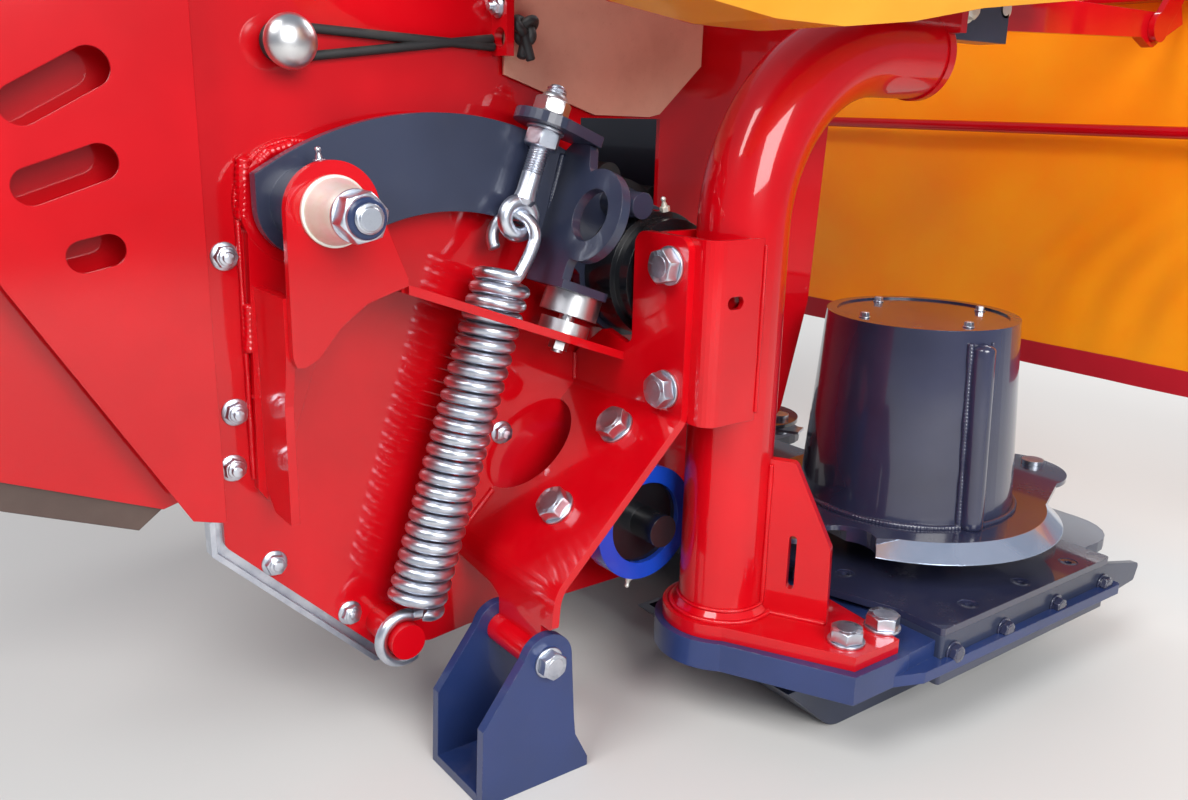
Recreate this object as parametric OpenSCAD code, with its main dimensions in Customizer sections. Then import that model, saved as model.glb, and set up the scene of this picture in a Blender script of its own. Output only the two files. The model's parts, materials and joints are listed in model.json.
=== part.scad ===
// End section of a disc mower conditioner: the outer discs of the cutterbar, the post that
// carries the frame, the conditioner side plate with its sprung roller arm, and the guards.
// X runs across the machine towards its outer end, Y forwards, Z up from the ground.
// The origin lies on the skid sole, straight below the axis of the outer disc.

/* [Cutterbar] */
// Distance between disc axes
disc_pitch = 520; // [510:5:535]
// Outer end of the bed, from the outer disc axis
bed_end = 195; // [185:1:200]
// Rear edge of the bed behind the disc axis
bed_rear = 180; // [170:1:190]
// Front edge of the bed ahead of the disc axis
bed_front = 144; // [135:1:150]
// Height of the bed's upper face above the sole
bed_top = 125; // [122:1:126]
// Height of the bed's underside above the sole
bed_low = 62; // [56:1:66]
// Thickness of the bed's upper plate
bed_plate = 8; // [6:1:9]
// Wall of the bed's trough
trough_wall = 6; // [5:1:8]

/* [Skids] */
// Thickness of the skid extension's plate
skid_plate = 12; // [10:1:13]
// How far the skid extension reaches past the flange
skid_margin = 8; // [7:1:12]
// Depth of the skid extension's turned-down rim, plate included
skid_rim = 30; // [26:1:32]
// Width of a skid shoe
shoe_w = 240; // [200:5:260]
// Length of the shoe's flat sole behind the disc axis
shoe_back = 250; // [220:5:270]
// Length of the shoe's flat sole ahead of the disc axis
shoe_front = 60; // [40:5:80]
// Wall of a shoe
shoe_wall = 6; // [5:1:8]

/* [Post] */
// Radius of the post's round tube
post_r = 44.45; // [42:0.05:45]
// Wall of the round tube
post_wall = 6; // [4:0.5:8]
// Sideways place of the post
post_x = 19; // [17:1:21]
// Distance of the post behind the disc axis
post_back = 322; // [320:1:326]
// Height at which the elbow begins
elbow_z = 515; // [505:1:520]
// Bend radius of the elbow
elbow_r = 170; // [165:1:175]
// Thickness of the foot flange
flange_t = 15; // [13:1:16]
// Radius of the flange round the post
flange_r = 61; // [58:1:63]
// Height of the foot gusset above the flange
gusset_h = 166; // [150:1:175]
// Thickness of the foot gusset
gusset_t = 10; // [8:1:12]

/* [Support bracket] */
// Thickness of the bracket's bent plate
bracket_t = 8; // [6:1:9]
// Rear face of the channel that carries the bracket
channel_back = 398; // [396:1:399]
// Thickness of the channel's sheet
channel_t = 6; // [5:1:7]
// Lower end of the channel
channel_low = 337; // [330:1:342]
// Upper end of the channel
channel_high = 512; // [505:1:516]
// Height of the bracket's bend
bend_z = 342; // [338:1:345]
// Sloping length of the bracket below the bend
slope_l = 203; // [198:1:206]

/* [Skid foot] */
// Distance of the foot's pivot behind the disc axis
foot_back = 548; // [546:1:550]
// Height of the foot's pivot
foot_z = 128; // [126:1:130]
// Radius of the pivot boss
boss_r = 15; // [14:0.5:17]
// Radius of the pivot bolt
foot_bolt_r = 8; // [6:0.5:9]
// Thickness of the foot's ears and sole
foot_t = 10; // [8:1:11]

/* [Side plate] */
// Near face of the side plate
side_x = -136; // [-137:1:-135]
// Thickness of the side plate
side_t = 6; // [5:1:8]
// Upper edge of the side plate
side_top = 760; // [756:1:764]
// Half the width of the bearing slot
slot_r = 52; // [48:1:54]
// Upper end of the bearing slot
slot_top = 614; // [608:1:618]

/* [Roller arm] */
// Distance of the arm's pivot behind the disc axis
pivot_back = 705; // [703:1:707]
// Height of the arm's pivot
pivot_z = 540; // [538:1:542]
// Radius of the pivot bolt
pivot_r = 12; // [10:0.5:13]
// Thickness of the arm's plate
arm_t = 12; // [10:1:13]
// Near face of the arm's plate
arm_x = -108; // [-109:1:-107]
// Far face of the outer pivot plate
outer_x = -61; // [-62:1:-60]
// Thickness of the outer pivot plate
outer_t = 8; // [6:1:9]
// Thickness of the doubler on the side plate
doubler_t = 10; // [8:0.5:10.5]
// Distance of the upper roller's axis behind the disc axis
upper_back = 352; // [350:1:354]
// Height of the upper roller's axis
upper_z = 462; // [460:1:464]
// Radius of the upper bearing tube
bearing_r = 64; // [60:1:65]
// Slope of the arm's end bracket and of the stop ledge, in degrees
tilt = 20; // [20:1:20]

/* [Rollers] */
// Distance of the lower roller's axis behind the disc axis
lower_back = 380; // [380:1:384]
// Height of the lower roller's axis
lower_z = 206; // [205:1:208]
// Outer radius of both rollers
roller_r = 107; // [100:1:108]
// Radius of the roller shafts
shaft_r = 20; // [17:0.5:22]

/* [Spring] */
// Outer radius of the tension spring
spring_r = 29; // [27:0.5:30]
// Wire radius of the tension spring
wire_r = 5; // [4:0.5:5]
// Sideways place of the spring
spring_x = -90; // [-91:1:-89]
// Distance of the spring's lower anchor behind the disc axis
anchor_back = 637; // [635:1:639]
// Radius of the anchor boss
anchor_r = 17.5; // [16:0.5:18]

/* [Discs] */
// Radius of the round part of a disc
disc_r = 185; // [170:1:190]
// Radius of the tips of a disc's two lobes
lobe_r = 262; // [250:1:264]
// Radius swept by the knives
knife_r = 273; // [268:1:273]
// Upper face of a disc at its lobes
disc_top = 178; // [176:1:180]
// Thickness of a disc
disc_t = 6; // [5:1:8]
// Radius of the drum's foot
drum_foot_r = 126; // [118:1:127]
// Radius of the drum's head
drum_head_r = 110; // [100:1:114]
// Upper rim of the drum
drum_top = 401; // [380:1:420]

/* [Frame and guards] */
// Near face of the slotted guard
guard_x = -118; // [-119:1:-117]
// Rear edge of the guards behind the disc axis
guard_back = 1040; // [1000:5:1060]
// Side of the header beam's square tube
beam_s = 120; // [110:1:125]
// Wall of the header beam
beam_wall = 6; // [5:1:8]
// Near end of the header beam
beam_end = 24; // [20:1:26]
// Thickness of the front guard's arms
guard_arm_t = 12; // [10:1:12]
// Distance of the front guard's hinge ahead of the disc axis
hinge_front = 350; // [346:1:354]
// Height of the front guard's hinge
hinge_z = 737; // [736:1:740]
// Rear face of the front curtain
curtain_front = 430; // [428:1:434]
// Lower edge of the front curtain
curtain_low = 262; // [250:1:300]
// Thickness of the front curtain
curtain_t = 4; // [3:1:5]
// Outer end of the front curtain
curtain_end = 250; // [200:5:260]

/* [Hidden] */
$fn = 72;

// Colours of the finishes
red = "#c8102e";
graphite = "#3a4152";
zinc = "#b9bcc0";
black = "#1c1d20";
rubber = "#26272a";
ring_blue = "#1f4fb0";
cover_yellow = "#f0a019";
curtain_orange = "#f28c1c";
shield_grey = "#9a8f86";

// Shared places and clearances
cut_x = -disc_pitch * 1.5;
seam = 1;
side_gap = 0.3;
run_gap = 0.05;
hole_gap = 0.15;
bolt_gap = 1;
m20_hole = 10 + bolt_gap;
pivot_y = -pivot_back;
upper_y = -upper_back;
lower_y = -lower_back;
foot_y = -foot_back;
anchor_y = -anchor_back;
anchor_z = 128;
post_y = -post_back;
flange_low = bed_top - flange_t;
side_far = side_x - side_t;
doubler_x = side_x + doubler_t;
arm_far = arm_x - arm_t;
outer_near = outer_x + outer_t;
trough_top = bed_top - bed_plate;

// A point at a given radius and angle round a centre
function turned(c, r, a) = [c[0] + r * cos(a), c[1] + r * sin(a)];

// Points along an arc from one angle to another
function arc(c, r, a0, a1, n = 12) = [for (i = [0:n]) turned(c, r, a0 + (a1 - a0) * i / n)];

// Length and direction of a vector
function unit(v) = v / norm(v);

// Points that round the corner p between its neighbours a and b with radius r
function corner(a, p, b, r, n = 6) =
    let (u = unit(a - p), w = unit(b - p), half = acos(u * w) / 2)
    let (c = p + unit(u + w) * r / sin(half), s = p + u * r / tan(half) - c)
    let (e = p + w * r / tan(half) - c, from = atan2(s[1], s[0]))
    let (raw = atan2(e[1], e[0]) - from)
    let (sweep = raw > 180 ? raw - 360 : raw < -180 ? raw + 360 : raw)
    [for (i = [0:n]) turned(c, r, from + sweep * i / n)];

// A closed outline of [x, y, radius] points with each corner rounded by its radius
function rounded(pts) = [for (i = [0:len(pts) - 1])
    let (p = pts[i], a = pts[(i + len(pts) - 1) % len(pts)], b = pts[(i + 1) % len(pts)])
    each p[2] > 0
        ? corner([a[0], a[1]], [p[0], p[1]], [b[0], b[1]], p[2])
        : [[p[0], p[1]]]];

// A (Y, Z) outline extruded along X from x0 to x1
module plate_x(x0, x1) {
    translate([x0, 0, 0]) rotate([90, 0, 90]) linear_extrude(x1 - x0) children();
}

// An (X, Z) outline extruded along Y from y0 to y1
module plate_y(y0, y1) {
    translate([0, y1, 0]) rotate([90, 0, 0]) linear_extrude(y1 - y0) children();
}

// An (X, Y) outline extruded along Z from z0 to z1
module plate_z(z0, z1) {
    translate([0, 0, z0]) linear_extrude(z1 - z0) children();
}

// A box between two opposite corners
module block(low, high) {
    translate(low) cube(high - low);
}

// A rod along X
module rod_x(r, x0, x1, y, z) {
    translate([x0, y, z]) rotate([0, 90, 0]) cylinder(r = r, h = x1 - x0);
}

// A rod along Y
module rod_y(r, y0, y1, x, z) {
    translate([x, y1, z]) rotate([90, 0, 0]) cylinder(r = r, h = y1 - y0);
}

// An upright rod
module rod_z(r, z0, z1, x = 0, y = 0) {
    translate([x, y, z0]) cylinder(r = r, h = z1 - z0);
}

// A hexagon nut or bolt head standing along Z, with its width across flats
module hexagon(across, h) {
    cylinder(r = across / sqrt(3), h = h, $fn = 6);
}

// A round dot of a (Y, Z) outline
module dot(y, z, r) {
    translate([y, z]) circle(r);
}

// Bed of the cutterbar

bed_corner = 6;
nose_t = 8;
seat_r = 62;
seat_h = 25;
spindle_r = 30;
spindle_low = 90;
disc_xs = [0, -disc_pitch];
screw_x = bed_end - 21;
bed_screws = [[screw_x, -108], [screw_x, -10], [screw_x, 88], [48, -157]];
apron_rear = 204;
joint_t = 14;
joint_hole = 7;
joint_y = 110;
joint_z = 18;
joint_mid_y = (bed_front - bed_rear) / 2;
joint_mid_z = (bed_low + trough_top) / 2;

module bed_outline() {
    polygon(rounded([[cut_x, -bed_rear, 0], [bed_end, -bed_rear, 4],
        [bed_end, bed_front, bed_corner], [cut_x, bed_front, 0]]));
}

module cutterbar_trough() {
    color(graphite) difference() {
        union() {
            plate_z(bed_low, trough_top) bed_outline();
            plate_x(bed_end - nose_t, bed_end) polygon(rounded([[bed_front - 20, bed_low + 8, 0],
                [bed_front + 68, bed_low + 16, 4], [bed_front + 76, trough_top - 18, 6],
                [bed_front, trough_top - 1, 0], [bed_front - 20, trough_top - 1, 0]]));
        }
        block([cut_x + joint_t, -bed_rear + trough_wall, bed_low + trough_wall],
            [bed_end - trough_wall, bed_front - trough_wall, bed_top]);
        for (y = [-1, 1], z = [-1, 1])
            rod_x(joint_hole, cut_x - seam, cut_x + joint_t + seam,
                joint_mid_y + y * joint_y, joint_mid_z + z * joint_z);
    }
}

module cutterbar_top_plate() {
    color(graphite) difference() {
        union() {
            plate_z(trough_top, bed_top) union() {
                bed_outline();
                polygon([[0, -bed_rear], [12, -apron_rear], [62, -apron_rear], [bed_end - 8, -bed_rear + 16],
                    [bed_end - 8, 0], [0, 0]]);
            }
            for (x = disc_xs) rod_z(seat_r, bed_top, bed_top + seat_h, x);
        }
        for (x = disc_xs) rod_z(spindle_r + run_gap, trough_top - seam, bed_top + seat_h + seam, x);
        for (c = bed_screws) translate([c[0], c[1], bed_top - 5])
            cylinder(r1 = 6, r2 = 11, h = 5 + hole_gap);
    }
}

// Skids below the bed

skid_low = flange_low - skid_rim;
skid_end = bed_end + 12;
rim_t = 8;
flange_near = 182;
flange_bolts = [[155, -282], [156, -228]];

module flange_outline(grow = 0) {
    near = flange_near + grow;
    rear = post_y - flange_r - grow;
    union() {
        translate([post_x, post_y]) circle(flange_r + grow);
        polygon([[post_x, post_y], [post_x + 15, rear + 4], [near, -299 - grow],
            [near, -234 + grow], [post_x + 59, -222 + grow], [post_x - 30, post_y + 53 + grow]]);
    }
}

module skid_outline(grow = 0) {
    union() {
        flange_outline(grow);
        polygon([[post_x - flange_r - grow, post_y], [flange_near + grow, -290],
            [flange_near + grow, -250], [bed_end - 8, -bed_rear], [post_x - flange_r - grow, -bed_rear]]);
    }
}

module rear_skid_extension() {
    color(graphite) {
        difference() {
            plate_z(skid_low, flange_low) skid_outline(skid_margin);
            plate_z(skid_low - seam, flange_low - skid_plate) intersection() {
                skid_outline(skid_margin - rim_t);
                translate([-200, -post_back - 200]) square([400, post_back + 200 - bed_rear - rim_t]);
            }
            for (b = flange_bolts) rod_z(m20_hole, skid_low - seam, bed_top, b[0], b[1]);
        }
        plate_z(skid_low, skid_low + skid_plate) polygon(rounded([[flange_near + 2, -262, 0],
            [skid_end - 4, -215, 10], [skid_end, bed_front + 12, 5], [bed_end, bed_front + 12, 0],
            [bed_end, -bed_rear, 0], [flange_near + 2, -bed_rear, 0]]));
    }
}

// The shoe is a closed tray below the trough, with a rounded toe and heel
module shoe_side(inset = 0) {
    toe = shoe_front + bed_low + 20;
    polygon(rounded([[-shoe_back - bed_low - 8 + inset, bed_low + inset, 0],
        [-shoe_back + inset * 0.5, inset, 40], [shoe_front - inset * 0.5, inset, 60],
        [toe - inset, bed_low + inset, 0]]));
}

module shoe(x) {
    color(graphite) difference() {
        plate_x(x - shoe_w / 2, x + shoe_w / 2) shoe_side();
        plate_x(x - shoe_w / 2 + shoe_wall, x + shoe_w / 2 - shoe_wall) shoe_side(shoe_wall);
    }
}

module end_shoe() shoe(0);

module inner_shoe() shoe(-disc_pitch);

// The rock guards are rounded noses on the front of the bed, one ahead of each disc
rock_w = 308;
rock_front = 256;
rock_t = 14;

module rock_guard(x) {
    color(graphite) plate_z(trough_top - rock_t, trough_top) polygon(rounded([
        [x - rock_w / 2, bed_front, 0], [x + rock_w / 2, bed_front, 0],
        [x + rock_w / 2, rock_front, 62], [x - rock_w / 2, rock_front, 62]]));
}

module rock_guard_1() rock_guard(0);

module rock_guard_2() rock_guard(-disc_pitch);

// Post and its foot

fillet_h = 10;
post_end = -90;
post_top = elbow_z + elbow_r;
gusset_a = 29;
gusset_reach = 113;
gusset_top = bed_top + gusset_h;

module foot_flange() {
    color(red) difference() {
        plate_z(flange_low, bed_top) flange_outline();
        for (b = flange_bolts) rod_z(m20_hole, flange_low - seam, bed_top + seam, b[0], b[1]);
    }
}

module foot_gusset() {
    color(red) difference() {
        translate([post_x, post_y, 0]) rotate([0, 0, gusset_a]) plate_y(-gusset_t / 2, gusset_t / 2)
            polygon(rounded([[post_r - 3, bed_top, 0], [gusset_reach, bed_top, 0],
                [gusset_reach - 2, bed_top + 82, 6], [70, gusset_top, 6],
                [post_r - 3, gusset_top, 0]]));
        rod_z(post_r, bed_top - seam, gusset_top + seam, post_x, post_y);
        translate([post_x, post_y, bed_top - seam]) cylinder(r1 = post_r + 10, r2 = post_r,
            h = fillet_h + seam);
        translate([post_x, post_y, 0]) rotate([0, 0, gusset_a]) for (z = [160, 210])
            rod_y(4, -gusset_t, gusset_t, 73, z);
        translate([post_x, post_y, 0]) rotate([0, 0, gusset_a])
            block([69, -gusset_t, 160], [77, gusset_t, 210]);
    }
}

module tube_elbow(r) {
    translate([post_x, post_y + elbow_r, elbow_z]) rotate([90, 0, 90]) rotate([0, 0, 90])
        rotate_extrude(angle = 90) translate([elbow_r, 0]) circle(r);
}

module upright_tube() {
    inner = post_r - post_wall;
    color(red) difference() {
        union() {
            rod_z(post_r, bed_top, elbow_z, post_x, post_y);
            translate([post_x, post_y, bed_top]) cylinder(r1 = post_r + 9, r2 = post_r, h = fillet_h);
            tube_elbow(post_r);
            rod_y(post_r, post_y + elbow_r, post_end, post_x, post_top);
        }
        rod_z(inner, bed_top - seam, elbow_z, post_x, post_y);
        tube_elbow(inner);
        rod_y(inner, post_y + elbow_r, post_end + seam, post_x, post_top);
    }
}

// Channel on the post and the bent bracket that carries the side plate

channel_far = -24;
channel_near = 62;
web_front = -335;
tab_left = -41;
tab_right = 37;
bracket_y = -channel_back;
bracket_rear = bracket_y - bracket_t;
bolt_x = 13;
bolt_zs = [485, 367];
slope_bolt_x = -32;
slope_bolts = [31, 130];
notch_x = -140;
notch_s = 83;
notch_r = 58;

// The channel's outline, or the space inside its sheet
module channel_outline(inset) {
    bend_r = 16 - inset;
    front = web_front + (inset > 0 ? seam : 0);
    polygon(rounded([[channel_far + inset, bracket_y + inset, bend_r],
        [channel_near - inset, bracket_y + inset, bend_r], [channel_near - inset, front, 0],
        [channel_far + inset, front, 0]]));
}

module post_channel() {
    color(red) difference() {
        plate_z(channel_low, channel_high) channel_outline(0);
        plate_z(channel_low - seam, channel_high + seam) channel_outline(channel_t);
        rod_z(post_r, channel_low - seam, channel_high + seam, post_x, post_y);
        for (y = [-4, 4])
            rod_x(6, channel_near - channel_t - seam, channel_near + seam, -368 + y, 454);
        block([channel_near - channel_t - seam, -372, 448], [channel_near + seam, -364, 460]);
        for (z = bolt_zs) rod_y(m20_hole, bracket_y - seam, bracket_y + channel_t + seam, bolt_x, z);
    }
}

// The bracket's sloping part lies in a frame that starts at the bend and runs down rearwards
module on_slope() {
    translate([0, bracket_rear, bend_z]) rotate([-45, 0, 0]) children();
}

module support_bracket() {
    end_y = bracket_rear - slope_l / sqrt(2);
    end_z = bend_z - slope_l / sqrt(2);
    skew = bracket_t * tan(22.5);
    top = channel_high + 1;
    leg_low = foot_z + 34;
    side_l = side_x - seam;
    side_r = tab_right + seam;
    color(red) difference() {
        union() {
            plate_x(side_x, tab_right) polygon(rounded([[bracket_rear, top, 0],
                [bracket_rear, bend_z, 10], [end_y, end_z, 34], [end_y, foot_z + 6, 0],
                [end_y + bracket_t, foot_z + 6, 0], [end_y + bracket_t, end_z - skew, 26],
                [bracket_y, bend_z - skew, 18], [bracket_y, top, 0]]));
            rod_x(boss_r, boss_far, boss_near, foot_y, foot_z);
        }
        plate_y(bracket_rear - seam, bracket_y + seam) difference() {
            translate([side_l, bend_z + 10]) square([side_r - side_l, 200]);
            polygon(rounded([[tab_right, bend_z, 0], [tab_right, top, 15], [tab_left, top, 15],
                [tab_left, 404, 8], [-50, 400, 6], [-87, 409, 14], [side_x, 374, 0],
                [side_x, bend_z, 0]]));
        }
        plate_y(end_y - boss_r, bracket_y + seam) difference() {
            translate([side_l, 0]) square([side_r - side_l, bend_z]);
            polygon(rounded([[side_l, bend_z + seam, 0], [side_r, bend_z + seam, 0],
                [side_r, end_z, 40], [tab_right - 3, leg_low, 5], [boss_near, leg_low, 0],
                [boss_near, foot_z - 20, 0], [boss_far, foot_z - 20, 0], [boss_far, leg_low, 2],
                [-72, leg_low + 8, 14], [side_l, leg_low + 16, 0]]));
        }
        on_slope() rod_y(notch_r, -seam, bracket_t + seam, notch_x, -notch_s);
        on_slope() for (s = slope_bolts)
            rod_y(m20_hole, -seam, bracket_t + seam, slope_bolt_x, -s);
        for (z = bolt_zs) rod_y(m20_hole, bracket_rear - seam, bracket_y + seam, bolt_x, z);
        rod_x(foot_bolt_r + run_gap, boss_far - seam, boss_near + seam, foot_y, foot_z);
    }
}

// Skid foot below the bracket

boss_far = -56.7;
boss_near = 16.7;
ear_far = boss_far - side_gap;
ear_near = boss_near + side_gap;
foot_rear = -620;
foot_front = -500;

module ear_outline() {
    union() {
        dot(foot_y, foot_z, 27);
        polygon([[foot_y - 26, foot_z + 8], [foot_y + 27, foot_z], [-517, 60], [-515, 40],
            [foot_front, foot_t], [foot_front, 0], [foot_rear, 0], [-618, 78]]);
    }
}

module rear_skid_foot() {
    color(graphite) {
        for (x = [ear_far - foot_t, ear_near]) difference() {
            plate_x(x, x + foot_t) ear_outline();
            rod_x(foot_bolt_r + hole_gap, x - seam, x + foot_t + seam, foot_y, foot_z);
        }
        block([ear_far, foot_rear, 0], [ear_near, foot_front, foot_t]);
    }
}

module foot_bolt() {
    head_x = ear_near + foot_t;
    color(zinc) {
        rod_x(foot_bolt_r, ear_far - foot_t - 15, head_x + 9, foot_y, foot_z);
        translate([head_x, foot_y, foot_z]) rotate([0, 90, 0]) hexagon(24, 10);
        translate([ear_far - foot_t - 13, foot_y, foot_z]) rotate([0, 90, 0]) hexagon(24, 13);
    }
}

// Side plate of the conditioner

side_bolts = [[-768, 498], [-768, 363], [-773, 313], [-742, 215], [-671, 145], [-498, 300]];
strip_bolts = [[-760, 194], [-688, 123]];
side_rear = 785;
side_front = 35;

module side_outline() {
    polygon(rounded([[-side_rear, 241, 12], [-643, 100, 12], [-584, 89, 20], [-540, 94, 20],
        [-262, 96, 10], [-255, 192, 20], [-150, 200, 20], [-83, 260, 30], [-47, 398, 60],
        [-side_front, 604, 40], [-side_front, side_top, 0], [-side_rear, side_top, 0]]));
}

module side_plate() {
    color(red) difference() {
        plate_x(side_far, side_x) side_outline();
        rod_x(slot_r, side_far - seam, side_x + seam, upper_y, upper_z);
        block([side_far - seam, upper_y - slot_r, upper_z],
            [side_x + seam, upper_y + slot_r, slot_top]);
        rod_x(shaft_r + 6, side_far - seam, side_x + seam, lower_y, lower_z);
        rod_x(pivot_r + hole_gap, side_far - seam, side_x + seam, pivot_y, pivot_z);
        for (b = concat(side_bolts, strip_bolts))
            rod_x(5.5, side_far - seam, side_x + seam, b[0], b[1]);
    }
}

// Pivot of the swing arm

rib_y = -748;
rib_t = 8;
rib_top = 472;
doubler_r = 51;
outer_r = 40;

module pivot_doubler() {
    color(red) difference() {
        plate_x(side_x, doubler_x) union() {
            dot(pivot_y, pivot_z, doubler_r);
            polygon([[pivot_y - doubler_r + 6, pivot_z], [pivot_y + doubler_r - 6, pivot_z],
                [-690, 420], [-735, 292], [-747, 280], [-755, 292]]);
        }
        rod_x(pivot_r + hole_gap, side_x - seam, doubler_x + seam, pivot_y, pivot_z);
    }
}

module pivot_rib() {
    color(red) plate_y(rib_y, rib_y + rib_t) polygon([[doubler_x, 292], [doubler_x + 20, 275],
        [-70, 275], [-70, 380], [outer_x, 420], [outer_x, rib_top], [doubler_x, rib_top]]);
}

module pivot_outer_plate() {
    start = [-745, 424];
    color(red) difference() {
        plate_x(outer_x, outer_near) union() {
            dot(pivot_y, pivot_z, outer_r);
            polygon(concat([[pivot_y - outer_r, pivot_z], start, [-742, 416], [-735, 415]],
                [[-723, 421], [-703, 445], [-679, 463], [-641, 475], [-641, 482], [-657, 520],
                [pivot_y + outer_r, pivot_z]]));
        }
        rod_x(pivot_r + hole_gap, outer_x - seam, outer_near + seam, pivot_y, pivot_z);
    }
}

module pivot_bolt() {
    washer_t = 4;
    sleeve_end = -14;
    nut_h = 18;
    collar_h = 5;
    color(zinc) {
        rod_x(pivot_r, side_far - 20, sleeve_end + nut_h + collar_h + 6, pivot_y, pivot_z);
        rod_x(16, sleeve_end + nut_h, sleeve_end + nut_h + collar_h, pivot_y, pivot_z);
        rod_x(29, outer_near, outer_near + washer_t, pivot_y, pivot_z);
        translate([outer_near + washer_t, pivot_y, pivot_z]) rotate([0, 90, 0])
            cylinder(r1 = 27, r2 = 19, h = sleeve_end - outer_near - washer_t);
        translate([sleeve_end, pivot_y, pivot_z]) rotate([0, 90, 0]) hexagon(36, nut_h);
        translate([side_far - 15, pivot_y, pivot_z]) rotate([0, 90, 0]) hexagon(36, 15);
    }
}

// Frame of the arm's end: local Y runs forward along the slope, local Z at right angles to it

head_c = [-39, -462.4, 529];
ledge_v = -111;
pad_v = -71;
buffer_u = -47;
buffer_w = 45;
buffer_r = 29;
eye_u = spring_x - head_c[0];
eye_w = -40;
eye_v = -21;
eyebolt_r = 10;

module at_head() {
    translate(head_c) rotate([-tilt, 0, 0]) children();
}

// The ledge's plane, by its height at a distance behind the disc axis
function ledge_z(y) = head_c[2] + ledge_v / cos(tilt) - (y - head_c[1]) * tan(tilt);

module stop_ledge() {
    ledge_t = 8;
    ledge_rear = -644;
    drop = ledge_t / cos(tilt);
    color(red) difference() {
        plate_x(side_x, outer_near) polygon([[ledge_rear, ledge_z(ledge_rear)],
            [bracket_rear, ledge_z(bracket_rear)], [bracket_rear, ledge_z(bracket_rear) - drop],
            [ledge_rear, ledge_z(ledge_rear) - drop]]);
        along_spring() rod_z(spring_r + 4, 0, spring_l, 0, 0);
        at_head() rod_z(6, ledge_v - 30, ledge_v + 10, buffer_u, buffer_w);
        block([outer_x - side_gap, ledge_rear - seam, 300], [outer_near + seam, -641, 600]);
    }
}

module stop_buffer() {
    disc_h = 12;
    color(zinc) at_head() {
        rod_z(buffer_r - 4, ledge_v, ledge_v + disc_h, buffer_u, buffer_w);
        rod_z(8, ledge_v + disc_h, ledge_v + disc_h + 6, buffer_u, buffer_w);
        rod_z(buffer_r, ledge_v + disc_h + 6, pad_v, buffer_u, buffer_w);
        rod_z(5.8, ledge_v - 20, ledge_v, buffer_u, buffer_w);
        translate([buffer_u, buffer_w, ledge_v - 17]) hexagon(17, 8);
    }
}

// Spring between the arm's eyebolt and the anchor boss

spring_low = [spring_x, -624, 157];
eye_c = [spring_x, head_c[1] + eye_v * sin(tilt) + eye_w * cos(tilt),
    head_c[2] + eye_v * cos(tilt) - eye_w * sin(tilt)];
eye_reach = 54.5;
spring_high = eye_c + (spring_low - eye_c) * eye_reach / norm(spring_low - eye_c);
spring_l = norm(spring_high - spring_low);
spring_lean = atan2(spring_high[1] - spring_low[1], spring_high[2] - spring_low[2]);

module along_spring() {
    translate(spring_low) rotate([-spring_lean, 0, 0]) children();
}

module tension_spring() {
    hook_r = 21;
    hook_z = spring_l + eye_reach - 1.5 - hook_r;
    turn_r = anchor_r + wire_r + 0.5;
    tail = turned([anchor_y, anchor_z], turn_r, 60);
    color(zinc) {
        along_spring() difference() {
            rod_z(spring_r, 0, spring_l);
            rod_z(spring_r - 2 * wire_r, -seam, spring_l + seam);
        }
        along_spring() {
            translate([0, 0, hook_z]) rotate([90, 0, 0]) rotate([0, 0, -10])
                rotate_extrude(angle = 215) translate([hook_r, 0]) circle(wire_r, $fn = 24);
            translate([hook_r + 1, 0, spring_l - 8]) cylinder(r = wire_r, h = 43, $fn = 24);
        }
        translate([spring_x, anchor_y, anchor_z]) rotate([90, 0, 90]) rotate([0, 0, 58])
            rotate_extrude(angle = 250) translate([turn_r, 0]) circle(wire_r, $fn = 24);
        translate([spring_x, tail[0], tail[1]]) rotate([-52, 0, 0])
            cylinder(r = wire_r - 0.2, h = 26, $fn = 24);
    }
}

module spring_anchor() {
    anchor_end = -78;
    color(red) rod_x(anchor_r, side_x, anchor_end, anchor_y, anchor_z);
}

// Swing arm that carries the upper roller

hub_r = 43;
hub_tube_r = 32;
arm_bearing_r = 70;
rim_r = 58;
arm_outer = [-580, 312, 305];
arm_inner = [-572, 332, 198];

module swing_arm() {
    color(graphite) {
        difference() {
            plate_x(arm_far, arm_x) difference() {
                union() {
                    difference() {
                        intersection() {
                            dot(arm_outer[0], arm_outer[1], arm_outer[2]);
                            polygon([[pivot_y - hub_r, 650], [pivot_y - hub_r, pivot_z],
                                [pivot_y, pivot_z - hub_r], [-670, 490], [-640, 420],
                                [upper_y, 420], [upper_y, 650]]);
                        }
                        dot(arm_inner[0], arm_inner[1], arm_inner[2]);
                    }
                    dot(pivot_y, pivot_z, hub_r);
                    dot(upper_y, upper_z, arm_bearing_r);
                }
                dot(upper_y, upper_z, bearing_r);
            }
            rod_x(pivot_r + 6, arm_far - seam, arm_x + seam, pivot_y, pivot_z);
        }
        difference() {
            rod_x(hub_tube_r, doubler_x + side_gap, outer_x - side_gap, pivot_y, pivot_z);
            rod_x(pivot_r + run_gap, doubler_x, outer_x, pivot_y, pivot_z);
        }
        rod_x(13, arm_x, -55, -386, 533);
    }
}

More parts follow.
